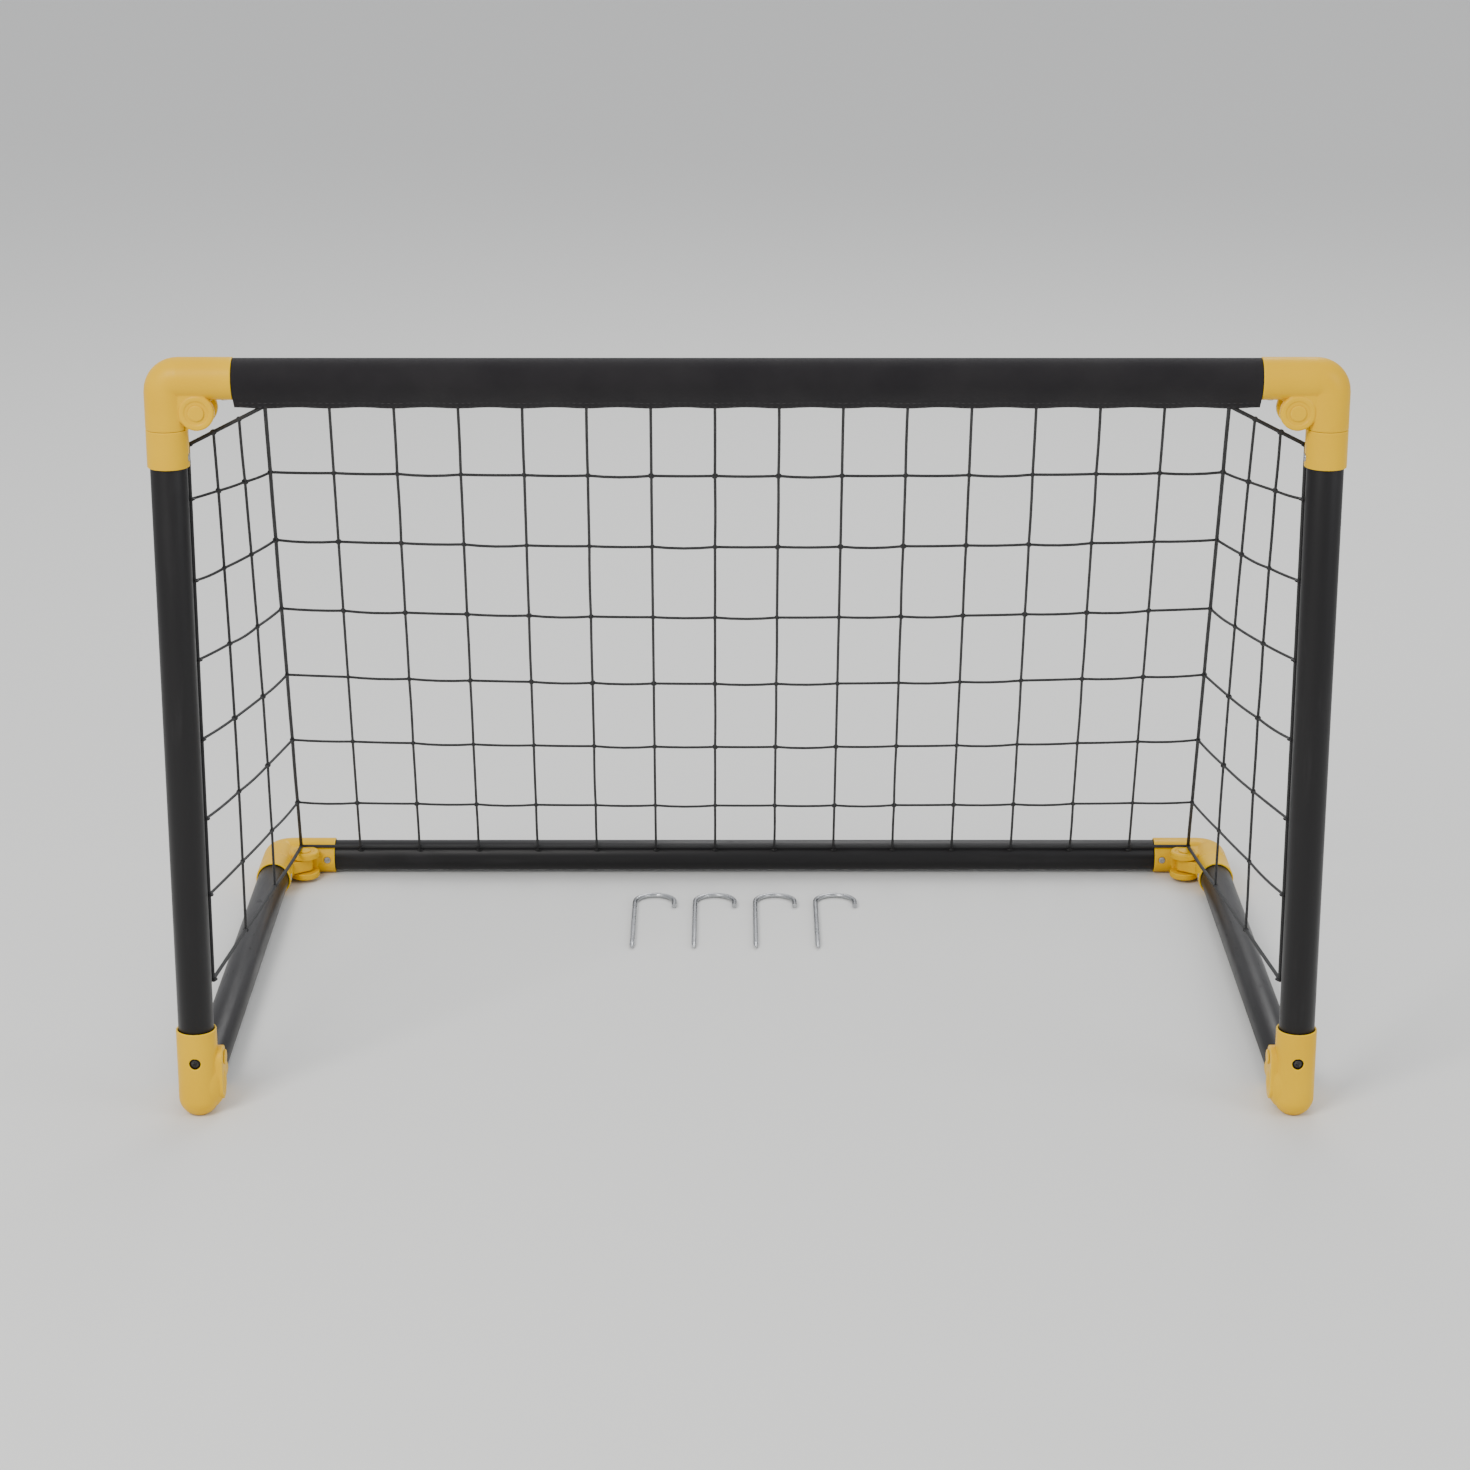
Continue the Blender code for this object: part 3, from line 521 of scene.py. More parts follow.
def sleeve_cloth():
    finish, tree, shader, place = new_finish("black_sleeve_cloth", 0.85)
    flat = node(tree, "UVMap", uv_map="weave").outputs["UV"]
    parts = node(tree, "SeparateXYZ")
    tree.links.new(flat, parts.inputs[0])
    along = math_node(tree, "SINE", math_node(tree, "MULTIPLY", parts.outputs["X"], math.tau / THREAD), 0)
    around = math_node(tree, "SINE", math_node(tree, "MULTIPLY", parts.outputs["Y"], math.tau / THREAD), 0)
    woven = math_node(tree, "MULTIPLY", along, around)
    fuzz = stretched_noise(tree, place, (2200, 2200, 2200), 2.0)
    height = math_node(tree, "ADD", woven, math_node(tree, "MULTIPLY", fuzz, 0.8))
    handled = grouped(tree, marks, place, Size=18.0)
    threads = ramp(tree, height, -1.0, 1.6)
    body = blended(tree, threads, (0.0060, 0.0052, 0.0062), (0.0175, 0.0155, 0.0180))
    dusty = math_node(tree, "MULTIPLY", handled["Blotches"], 0.25)
    tree.links.new(blended(tree, dusty, body, (0.035, 0.033, 0.033)), shader.inputs["Base Color"])
    bumped(tree, shader, height, 0.00014, 0.8)
    shader.inputs["Sheen Weight"].default_value = 0.06
    shader.inputs["Sheen Roughness"].default_value = 0.45
    shader.inputs["Specular IOR Level"].default_value = 0.2
    return finish


cloth = sleeve_cloth()
print("finish:", cloth.name)


# %% Cord and thread
def twisted_cord(name, dark, light, pitch):
    finish, tree, shader, place = new_finish(name, 0.7)
    parts = node(tree, "SeparateXYZ")
    tree.links.new(place, parts.inputs[0])
    level = math_node(tree, "ADD", parts.outputs["X"], parts.outputs["Y"])
    slant = math_node(tree, "ADD", level, parts.outputs["Z"])
    strands = math_node(tree, "SINE", math_node(tree, "MULTIPLY", slant, math.tau / pitch), 0)
    fibres = stretched_noise(tree, place, (1800, 1800, 1800), 2.0)
    height = math_node(tree, "ADD", math_node(tree, "MULTIPLY", strands, 0.5), fibres)
    tree.links.new(blended(tree, ramp(tree, height, 0.0, 1.1), dark, light), shader.inputs["Base Color"])
    bumped(tree, shader, height, 0.00025, 0.8)
    return finish


CORD_TWIST = 2.2 * MM
THREAD_TWIST = 0.7 * MM
net_cord = twisted_cord("black_net_cord", (0.008, 0.008, 0.008), (0.026, 0.026, 0.027), CORD_TWIST)
thread = twisted_cord("sewing_thread", (0.03, 0.028, 0.03), (0.075, 0.07, 0.075), THREAD_TWIST)
print("finishes:", net_cord.name, thread.name)


# %% Steel
def steel(name, dark, light, rough, grain_scale):
    finish, tree, shader, place = new_finish(name, rough, 1.0)
    drawn = stretched_noise(tree, place, grain_scale, 3.0, 0.6)
    handled = grouped(tree, marks, place, Size=60.0)
    tone = blended(tree, ramp(tree, drawn, 0.3, 0.7), dark, light)
    spots = math_node(tree, "MULTIPLY", handled["Blotches"], 0.35)
    tree.links.new(blended(tree, spots, tone, dark), shader.inputs["Base Color"])
    duller = ramp(tree, handled["Blotches"], 0.0, 1.0, ((0, rough - 0.06), (1, rough + 0.12)))
    tree.links.new(duller, shader.inputs["Roughness"])
    bumped(tree, shader, drawn, 0.00004, 0.6)
    return finish


zinc = steel("dull_zinc_steel", (0.30, 0.30, 0.31), (0.52, 0.53, 0.54), 0.36, (300, 300, 300))
# Near black steel for the screws sunk deep in the feet: painted shade of their wells.
well_shade_steel = steel("screw_steel_painted_shade", (0.035, 0.033, 0.032), (0.10, 0.098, 0.095), 0.42, (300, 300, 300))
wire = steel("bright_peg_wire", (0.36, 0.37, 0.38), (0.62, 0.63, 0.64), 0.27, (900, 14, 900))
print("finishes:", zinc.name, well_shade_steel.name, wire.name)


# %% Helper that finishes a piece
def finished(obj, name, finish, slot, body, *stands_for):
    """Names the piece, gives it its finish and fixes it to the body it moves with. The slot is not used."""
    obj.name = name
    obj.data.name = name
    obj.data.materials.clear()
    obj.data.materials.append(finish)
    if body:
        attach(obj, body)
    if stands_for:
        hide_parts(*stands_for)
    return obj


# %% [markdown]
# ## The moulded corner that sits on the crossbar or the back bar
#
# This half is a short elbow. One leg is a deep socket for the cross pipe. The other leg is a hood, slotted
# so that the tongue of the swinging half can turn in it. A round boss across the inner corner carries the
# hinge pin, with a raised ring round the pin's head.
#
# The rounded outer corner is a disc swept through a quarter turn. Its bend is tighter than the disc's own
# radius, so the disc is first cut off at the turning line, and the sweep closes on itself there. Everything
# is then joined and cut with exact Booleans, and the skin is rebuilt in even small faces and relaxed, which
# gives all edges the small radius that a mould has.


# %% Corner sweep and screw seat
SWEEP_SHY = 0.15 * MM
LEG_LAP = 0.3 * MM


def corner_sweep():
    """The rounded outer quarter between the two legs, a touch thinner than they are."""
    bpy.ops.mesh.primitive_circle_add(
        vertices=STOCK_SIDES,
        radius=FITTING_RADIUS - SWEEP_SHY,
        fill_type="NGON",
        location=(BEND_RADIUS, 0, 0),
        rotation=(0, math.radians(90), 0),
    )
    disc = settled(bpy.context.object)
    bpy.ops.object.mode_set(mode="EDIT")
    bpy.ops.mesh.select_all(action="SELECT")
    turn_line = (BEND_RADIUS, BEND_RADIUS, 0)
    bpy.ops.mesh.bisect(plane_co=turn_line, plane_no=(0, 1, 0), clear_outer=True)
    bpy.ops.mesh.select_all(action="SELECT")
    bpy.ops.mesh.spin(steps=16, angle=math.radians(90), center=turn_line, axis=(0, 0, 1))
    bpy.ops.object.mode_set(mode="OBJECT")
    return tidy_skin(disc)


SEAT_DEPTH = 1.1 * MM
SEAT_RADIUS = 3.5 * MM
SCREW_HOLE_RADIUS = 1.9 * MM
SCREW_FROM_END = 7.0 * MM
CLEAR_OUT = 4 * MM


def screw_seat(place, way):
    """Cutters for a fixing screw on a socket's outside: a round seat and the hole below it."""
    place, way = Vector(place), Vector(way)
    surface = place + way * FITTING_RADIUS
    outside = surface + way * CLEAR_OUT
    seat = round_bar(surface - way * SEAT_DEPTH, outside, SEAT_RADIUS, SEAT_SIDES)
    hole = round_bar(place, outside, SCREW_HOLE_RADIUS, 24)
    return [seat, hole]


# %% The elbow itself
BOSS_RING = (12.4 * MM, 9.4 * MM, 0.8 * MM)
BORE_BEHIND_PIVOT = 3.5 * MM


def elbow():
    ring_outer, ring_inner, ring_height = BOSS_RING
    start = BEND_RADIUS - LEG_LAP
    body = round_bar((start, 0, 0), (FORK_END, 0, 0), FITTING_RADIUS)
    adds = [
        corner_sweep(),
        round_bar((0, start, 0), (0, FORK_LEG_END, 0), FITTING_RADIUS),
        webbed([(PIVOT, PIVOT, BOSS_RADIUS), (0, 0, MM)], -BOSS_HALF, BOSS_HALF),
    ]
    for side in (-1, 1):
        top = side * (BOSS_HALF + ring_height)
        collar = round_bar((PIVOT, PIVOT, 0), (PIVOT, PIVOT, top), ring_outer)
        well = round_bar((PIVOT, PIVOT, side * BOSS_HALF), (PIVOT, PIVOT, top * 2), ring_inner)
        adds.append(combined(collar, [well], "DIFFERENCE"))
    body = combined(body, adds, "UNION")
    far = FORK_END * 2
    slot_start = FITTING_RADIUS + FIT_GAP
    cuts = [
        block((HOOD_WALL - FITTING_RADIUS, slot_start, -SLOT_HALF), (far, far, SLOT_HALF)),
        round_bar((PIVOT - BORE_BEHIND_PIVOT, 0, 0), (far, 0, 0), BORE_RADIUS),
        round_bar((PIVOT, PIVOT, -far), (PIVOT, PIVOT, far), PIN_HOLE_RADIUS, HOLE_SIDES),
    ]
    cuts += screw_seat((FORK_END - SCREW_FROM_END, 0, 0), (0, 1, 0))
    body = combined(body, cuts, "DIFFERENCE")
    return moulded(body)


elbow_master = elbow()
print("elbow:", len(elbow_master.data.polygons), "faces")

# %% [markdown]
# ## The moulded half on each leg
#
# The swinging half is a socket with a flat tongue that ends in an eye for the pin. The same drawing serves
# the four corners and, with the eye further round, the front ends of the side bars, where the tongue goes
# into a foot.


# %% Tongue socket
ROOT_LAP = 1.8 * MM
SOCKET_FLOOR = 7 * MM


def tongue_socket(eye, eye_radius, roots, start, end):
    """A socket along Y from start to end, with a tongue from its roots to the eye at (x, y)."""
    root_y = start + ROOT_LAP
    outline = [(*eye, eye_radius)] + [(x, root_y, MM) for x in roots]
    body = round_bar((0, start, 0), (0, end, 0), FITTING_RADIUS)
    body = combined(body, [webbed(outline, -TONGUE_HALF, TONGUE_HALF)], "UNION")
    cuts = [
        round_bar((0, start + SOCKET_FLOOR, 0), (0, end * 2, 0), BORE_RADIUS),
        round_bar((*eye, -FORK_END), (*eye, FORK_END), PIN_HOLE_RADIUS, HOLE_SIDES),
    ]
    cuts += screw_seat((0, end - SCREW_FROM_END, 0), (1, 0, 0))
    return moulded(combined(body, cuts, "DIFFERENCE"))


LEG_ROOTS = (-7 * MM, 12 * MM)
leg_socket_master = tongue_socket((PIVOT, PIVOT), EYE_RADIUS, LEG_ROOTS, LEG_SOCKET_START, LEG_SOCKET_END)

SIDE_ROOTS = (-12 * MM, 12 * MM)
FOOT_EYE_RADIUS = 8.0 * MM
SIDE_SOCKET_START = FITTING_RADIUS + 1.5 * MM
SIDE_SOCKET_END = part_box("right_foot_side_fitting")[1].y - FRONT_Y
foot_eye = (FOOT_PIVOT.z - BASE_Z, FOOT_PIVOT.y - FRONT_Y)
side_socket_master = tongue_socket(
    foot_eye, FOOT_EYE_RADIUS, SIDE_ROOTS, SIDE_SOCKET_START, SIDE_SOCKET_END
)
print("tongue sockets:", len(leg_socket_master.data.polygons), len(side_socket_master.data.polygons), "faces")

# %% [markdown]
# ## The feet
#
# A foot is a round shank with a ball end, cut flat to stand on. A lug on the inner side carries the pin of
# the side bar's hinge, and a slot lets its tongue swing up. In front a fixing screw sits deep in a round
# hole.


# %% Foot
foot_low, foot_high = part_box("right_foot")
FOOT_HEIGHT = foot_high.z
FOOT_LUG_IN = POST_X - foot_low.x
FOOT_SCREW_Z = (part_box("right_foot_screw")[0].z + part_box("right_foot_screw")[1].z) / 2
SOLE_RADIUS = 6.8 * MM
LUG_RADIUS = 11.0 * MM
LUG_LOW_Z = 22 * MM
FOOT_OUTER_HALF = FITTING_RADIUS - 1.4 * MM
POST_NOTCH_Z = 54.4 * MM
POST_END_Z = post_low.z
BORE_SIDES = 60
BORE_CUT_Y = 2.9 * MM
WIDE = 0.1


def ball_end_shank():
    """A ball and a bar joined, and the ball cut flat where it stands."""
    drop = math.sqrt(FITTING_RADIUS**2 - SOLE_RADIUS**2)
    bpy.ops.mesh.primitive_uv_sphere_add(
        segments=STOCK_SIDES, ring_count=32, radius=FITTING_RADIUS, location=(0, 0, drop)
    )
    ball = settled(bpy.context.object)
    shank = round_bar((0, 0, drop), (0, 0, FOOT_HEIGHT), FITTING_RADIUS - 0.01 * MM)
    shank = combined(shank, [ball], "UNION")
    below = block((-WIDE, -WIDE, -WIDE), (WIDE, WIDE, 0))
    return combined(shank, [below], "DIFFERENCE")


def lug(discs, low, high, inward):
    """A webbed plate of (depth, height, radius) discs that stands across the foot, inwards positive."""
    plate = webbed(discs, low, high)
    turn = Matrix(((0, 0, inward), (1, 0, 0), (0, 1, 0))).to_4x4()
    plate.data.transform(turn)
    return tidy_skin(plate)


def half_bore():
    """Room for the front half of the post's cut back end."""
    bore = round_bar((0, 0, POST_END_Z - FIT_GAP), (0, 0, POST_NOTCH_Z), BORE_RADIUS, BORE_SIDES)
    return combined(bore, [block((-WIDE, -BORE_CUT_Y, 0), (WIDE, WIDE, WIDE))], "DIFFERENCE")


# %% Swell of the inner side
SWELL_CENTRE = 6.0 * MM
SWELL_HEIGHT = 25.0 * MM
SWELL_DEPTH = 17.0 * MM
SWELL_PROUD = 1.6 * MM
SWELL_LIFT = 2 * MM


def swell(back):
    """The full, rounded bulge below the pin, as a stretched ball."""
    bpy.ops.mesh.primitive_uv_sphere_add(
        segments=48,
        ring_count=24,
        radius=1,
        location=(-SWELL_CENTRE, back / 2, SWELL_HEIGHT),
        scale=(FOOT_LUG_IN + SWELL_PROUD - SWELL_CENTRE, SWELL_DEPTH, SWELL_HEIGHT - SWELL_LIFT),
    )
    return settled(bpy.context.object)


# %% The foot itself
SLOT_GAP = 0.6 * MM
EYE_FRONT = FOOT_EYE_RADIUS + SLOT_GAP
SWING_ROOM = 3.5 * MM
PIN_HEAD_WELL = 6.6 * MM
SCREW_WELL_RADIUS = 4.5 * MM
SCREW_WELL_FLOOR = 12.7 * MM


def foot():
    """The right foot, about its post's axis; its inner side faces -X."""
    back = FOOT_PIVOT.y - FRONT_Y
    height = FOOT_PIVOT.z
    body = ball_end_shank()
    inner = lug([(back / 2, height, LUG_RADIUS), (back / 2, LUG_LOW_Z, LUG_RADIUS)], 0, FOOT_LUG_IN, -1)
    outer = lug([(back, height, LUG_RADIUS - MM)], -FOOT_OUTER_HALF, 0, -1)
    body = combined(body, [inner, outer, swell(back)], "UNION")
    slot = TONGUE_HALF + SLOT_GAP
    far = FOOT_HEIGHT * 2
    eye_top = height + FOOT_EYE_RADIUS
    seat = Vector((0, 0, FOOT_SCREW_Z))
    front = Vector((0, -1, 0))
    cuts = [
        round_bar((0, 0, POST_NOTCH_Z - FIT_GAP), (0, 0, far), BORE_RADIUS, BORE_SIDES),
        half_bore(),
        block((-slot, back - EYE_FRONT, -far), (slot, far, eye_top + SLOT_GAP)),
        block((-slot, back, -far), (slot, far, eye_top + SWING_ROOM)),
        round_bar((-far, back, height), (far, back, height), PIN_HOLE_RADIUS, HOLE_SIDES),
        round_bar((FOOT_OUTER_HALF, back, height), (far, back, height), PIN_HEAD_WELL, SEAT_SIDES),
        round_bar(seat + front * SCREW_WELL_FLOOR, seat + front * far, SCREW_WELL_RADIUS, SEAT_SIDES),
    ]
    return moulded(combined(body, cuts, "DIFFERENCE"))


foot_master = foot()
print("foot:", len(foot_master.data.polygons), "faces")

# %% [markdown]
# Now the masters are copied into place. At each corner a matrix turns the small frame: X inwards along the
# cross pipe, Y down or forwards along the leg, Z along the pin.


# %% Place the mouldings
SIDES = (("left", -1), ("right", 1))


def corner_frame(sign, leg, place):
    inward = Vector((-sign, 0, 0))
    turn = Matrix((inward, leg, inward.cross(leg))).transposed().to_4x4()
    return Matrix.Translation(place) @ turn


DOWN, FORWARD = Vector((0, 0, -1)), Vector((0, -1, 0))
side_turn = Matrix(((0, 0, -1), (0, 1, 0), (1, 0, 0))).to_4x4()
for side, sign in SIDES:
    x = sign * POST_X
    top = corner_frame(sign, DOWN, (x, FRONT_Y, CROSSBAR_Z))
    rear = corner_frame(sign, FORWARD, (x, REAR_Y, BASE_Z))
    mirror = Matrix.Diagonal((sign, 1, 1, 1))
    at_post = Matrix.Translation((x, FRONT_Y, 0))
    at_side = Matrix.Translation((x, FRONT_Y, BASE_Z)) @ side_turn
    post, bar = f"{side}_post", f"{side}_side_bar"
    for master, matrix, name, body, cad in (
        (elbow_master, top, f"top_{side}_elbow", "crossbar", f"top_{side}_crossbar_fitting"),
        (leg_socket_master, top, f"top_{side}_post_socket", post, f"top_{side}_post_fitting"),
        (elbow_master, rear, f"rear_{side}_elbow", "back_bar", f"rear_{side}_back_fitting"),
        (leg_socket_master, rear, f"rear_{side}_side_socket", bar, f"rear_{side}_side_fitting"),
        (side_socket_master, at_side, f"{side}_front_socket", bar, f"{side}_foot_side_fitting"),
        (foot_master, at_post @ mirror, f"{side}_foot_moulding", post, f"{side}_foot"),
    ):
        finished(copied(master, matrix), name, yellow, "yellow_plastic", body, cad)
for master in (elbow_master, leg_socket_master, side_socket_master, foot_master):
    bpy.data.objects.remove(master)
print("twelve mouldings placed")

# %% [markdown]
# ## The pipes
#
# A pipe is a cylinder without ends, given its wall inwards and a small bevel at the cut ends. The post's
# lower end is cut back at the rear, where the side bar's tongue swings, so a bite is taken out of it.


# %% Pipes
PIPE_SIDES = 72
END_BEVEL = 0.35 * MM
BITE_FRONT = 3.15 * MM
BITE_REACH = 30 * MM


def pipe(start, end):
    made = tidy_skin(round_bar(start, end, PIPE_RADIUS, PIPE_SIDES, "NOTHING"))
    shaped(made, "SOLIDIFY", thickness=PIPE_WALL, offset=-1)
    shaped(made, "BEVEL", width=END_BEVEL, segments=2, limit_method="ANGLE", angle_limit=math.radians(50))
    return smooth(made)


def cad_span(name, axis):
    """The start and end of a pipe along one axis, on its own centre line."""
    low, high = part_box(name)
    start, end = (low + high) / 2, (low + high) / 2
    start[axis], end[axis] = low[axis], high[axis]
    return start, end


for name, axis, body, title in (
    ("crossbar_tube", 0, "crossbar", "crossbar_pipe"),
    ("back_tube", 0, "back_bar", "back_pipe"),
    ("left_side_tube", 1, "left_side_bar", "left_side_pipe"),
    ("right_side_tube", 1, "right_side_bar", "right_side_pipe"),
):
    made = pipe(*cad_span(name, axis))
    finished(made, title, pipe_finish[axis], "black_tube", body, name)

for side, sign in SIDES:
    start = Vector((sign * POST_X, FRONT_Y, POST_END_Z))
    end = Vector((sign * POST_X, FRONT_Y, post_high.z))
    made = pipe(start, end)
    bite_low = (start.x - BITE_REACH, FRONT_Y - BITE_FRONT, 0)
    bite_high = (start.x + BITE_REACH, FRONT_Y + BITE_REACH, POST_NOTCH_Z)
    made = smooth(combined(made, [block(bite_low, bite_high)], "DIFFERENCE"))
    finished(made, f"{side}_post_pipe", pipe_finish[2], "black_tube", f"{side}_post", f"{side}_post_tube")
print("six pipes, wall", PIPE_WALL * 1000, "mm")

# %% [markdown]
# ## Pins and screws
#
# A hinge pin is a shank with a domed head at each end. The rear pins are two headed stubs, because nothing
# passes through the tongue there. The screws are small pan heads with a cross recess: a disc with a
# rounded rim, cut by two crossed blades.


# %% Pins
HEAD_RADIUS = 6.0 * MM
HEAD_HEIGHT = 1.1 * MM
HEAD_ROUNDING = 0.8 * MM
FLIP = Matrix.Rotation(math.pi, 4, "X")


def domed_head(shoulder):
    """A rivet head above the height shoulder: a disc whose rim is rounded over."""
    head = round_bar((0, 0, shoulder), (0, 0, shoulder + HEAD_HEIGHT), HEAD_RADIUS, 48)
    only(head)
    bpy.ops.object.mode_set(mode="EDIT")
    bpy.ops.mesh.select_all(action="DESELECT")
    bpy.ops.object.mode_set(mode="OBJECT")
    for face in head.data.polygons:
        face.select = face.normal.z > 0.9
    bpy.ops.object.mode_set(mode="EDIT")
    bpy.ops.mesh.select_mode(type="FACE")
    bpy.ops.mesh.bevel(offset=HEAD_ROUNDING, segments=5, affect="EDGES")
    bpy.ops.object.mode_set(mode="OBJECT")
    return head


def pin(lower, upper, lower_head=True):
    """A hinge pin along Z, with its shoulders at lower and upper."""
    shank = round_bar((0, 0, lower), (0, 0, upper), PIN_RADIUS, HOLE_SIDES)
    heads = [domed_head(upper)]
    if lower_head:
        other = domed_head(-lower)
        other.data.transform(FLIP)
        heads.append(other)
    return smooth(tidy_skin(joined([shank] + heads)), 40)


boss_top = BOSS_HALF + FIT_GAP
full_pin = pin(-boss_top, boss_top)
stub_pin = pin(SLOT_HALF, boss_top, lower_head=False)
foot_outer = FOOT_OUTER_HALF + FIT_GAP / 2
foot_pin = pin(-foot_outer, FOOT_LUG_IN + FIT_GAP)
at_pivot = Matrix.Translation((PIVOT, PIVOT, 0))
for side, sign in SIDES:
    x = sign * POST_X
    top = corner_frame(sign, DOWN, (x, FRONT_Y, CROSSBAR_Z)) @ at_pivot
    rear = corner_frame(sign, FORWARD, (x, REAR_Y, BASE_Z)) @ at_pivot
    across = Matrix.Translation((x, FOOT_PIVOT.y, FOOT_PIVOT.z))
    across = across @ Vector((-sign, 0, 0)).to_track_quat("Z", "Y").to_matrix().to_4x4()
    for master, matrix, title, body, cad in (
        (full_pin, top, f"top_{side}_hinge_pin", "crossbar", f"top_{side}_pin"),
        (stub_pin, rear, f"rear_{side}_pin_upper", "back_bar", f"rear_{side}_pin_a"),
        (stub_pin, rear @ FLIP, f"rear_{side}_pin_lower", "back_bar", f"rear_{side}_pin_b"),
        (foot_pin, across, f"{side}_foot_hinge_pin", f"{side}_post", f"{side}_foot_pin"),
    ):
        finished(copied(master, matrix), title, yellow, "yellow_plastic", body, cad)
for master in (full_pin, stub_pin, foot_pin):
    bpy.data.objects.remove(master)
print("eight pins")


# %% Screws
SCREW_HEAD_RADIUS = 3.1 * MM
SCREW_HEAD_HEIGHT = 1.3 * MM
SCREW_LENGTH = 4 * MM
SCREW_RADIUS = 1.5 * MM
CROSS_HALF = (2.0 * MM, 0.35 * MM)
CROSS_FLOOR = 0.55 * MM
FOOT_SCREW_SUNK = 2.4 * MM


def cross_screw():
    """A pan head screw along -Z, with the underside of its head at the origin."""
    head = domed_head(0)
    wider, taller = SCREW_HEAD_RADIUS / HEAD_RADIUS, SCREW_HEAD_HEIGHT / HEAD_HEIGHT
    head.data.transform(Matrix.Diagonal((wider, wider, taller, 1)))
    long_half, thin_half = CROSS_HALF
    for turn in (20, 110):
        blade = block((-long_half, -thin_half, CROSS_FLOOR), (long_half, thin_half, 3 * MM))
        blade.data.transform(Matrix.Rotation(math.radians(turn), 4, "Z"))
        head = combined(head, [blade], "DIFFERENCE")
    shank = round_bar((0, 0, -SCREW_LENGTH), (0, 0, 0), SCREW_RADIUS, 20)
    return smooth(tidy_skin(joined([head, shank])), 40)


# %% Place the screws
screw_master = cross_screw()
for side, sign in SIDES:
    x = sign * POST_X
    screw_x = sign * (POST_X - FORK_END + SCREW_FROM_END)
    leg_screw = LEG_SOCKET_END - SCREW_FROM_END
    front_screw_y = FRONT_Y + SIDE_SOCKET_END - SCREW_FROM_END
    for part, place, way, sunk, body in (
        ("crossbar", (screw_x, FRONT_Y, CROSSBAR_Z), (0, 0, -1), SEAT_DEPTH, "crossbar"),
        ("post", (x, FRONT_Y, CROSSBAR_Z - leg_screw), (-sign, 0, 0), SEAT_DEPTH, f"{side}_post"),
        ("foot", (x, FRONT_Y, FOOT_SCREW_Z), (0, -1, 0), FOOT_SCREW_SUNK, f"{side}_post"),
        ("side_front", (x, front_screw_y, BASE_Z), (0, 0, 1), SEAT_DEPTH, f"{side}_side_bar"),
        ("side_rear", (x, REAR_Y - leg_screw, BASE_Z), (-sign, 0, 0), SEAT_DEPTH, f"{side}_side_bar"),
        ("back", (screw_x, REAR_Y, BASE_Z), (0, -1, 0), SEAT_DEPTH, "back_bar"),
    ):
        way = Vector(way)
        seat = Vector(place) + way * (FITTING_RADIUS - sunk)
        turn = way.to_track_quat("Z", "Y").to_matrix().to_4x4()
        screw = copied(screw_master, Matrix.Translation(seat) @ turn)
        # The screws deep in the feet get the near black steel: painted shade of their wells.
        finish = well_shade_steel if part == "foot" else zinc
        finished(screw, f"{side}_{part}_cross_screw", finish, "zinc_steel", body, f"{side}_{part}_screw")
bpy.data.objects.remove(screw_master)
print("twelve screws")

# %% [markdown]
# ## The sewn sleeve
#
# The sleeve is one strip of cloth wrapped round the crossbar and sewn to itself below it, where the hem
# carries the net. Seen from the end it is a drop: half a circle over the pipe, then two nearly flat sides
# that meet in the hem. The strip starts as a flat grid, long enough to wrap, and each of its points is then
# moved onto the drop. The net pulls the hem down a little at every string, and the cloth between the two
# seams puckers, so the lower part gets small waves that die out towards the pipe.


# %% Sleeve
sleeve_low, sleeve_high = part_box("crossbar_sleeve")
SLEEVE_HALF = (sleeve_high.x - sleeve_low.x) / 2
SLEEVE_RADIUS = PIPE_RADIUS + 0.9 * MM
HEM_DROP = CROSSBAR_Z - sleeve_low.z
HEM_HALF = 1.1 * MM
HEM_LIFT = 0.9 * MM
BACK_SHIFT = 4 * MM
WEAVE_GIRTH = 0.094
CLOTH = 0.7 * MM
NET_COLUMNS = 15
NET_TOP_HALF = 0.360
COLUMN_STEP = 2 * NET_TOP_HALF / NET_COLUMNS


def drop_point(share):
    """A point (y, z) of the section about the pipe, from the hem's front over the top to its back."""
    flat_side = math.hypot(SLEEVE_RADIUS - HEM_HALF, HEM_DROP)
    arc = math.pi * SLEEVE_RADIUS
    reach = share * (2 * flat_side + arc)
    if reach < flat_side:
        up = reach / flat_side
        return -HEM_HALF - (SLEEVE_RADIUS - HEM_HALF) * math.sin(up * math.pi / 2), -HEM_DROP * (1 - up)
    if reach > flat_side + arc:
        y, z = drop_point(1 - share)
        return -y, z
    angle = (reach - flat_side) / SLEEVE_RADIUS
    return -SLEEVE_RADIUS * math.cos(angle), SLEEVE_RADIUS * math.sin(angle)


def pucker(x, side, low):
    """How far the cloth is pushed out at x; low is 1 at the hem and 0 on the pipe."""
    x += BACK_SHIFT if side > 0 else 0.0
    seam_waves = math.sin(math.tau * x / 0.0131) + 0.7 * math.sin(math.tau * x / 0.0083 + 1.3)
    long_waves = math.sin(math.tau * x / 0.091 + 0.6)
    return (0.22 * seam_waves + 0.30 * long_waves) * (low * (1.4 - low)) * MM


def hem_lift(x, low):
    """How far the hem rises between two strings of the net."""
    between = 0.5 - 0.5 * math.cos(math.tau * (x + NET_TOP_HALF) / COLUMN_STEP)
    return HEM_LIFT * between * low**3


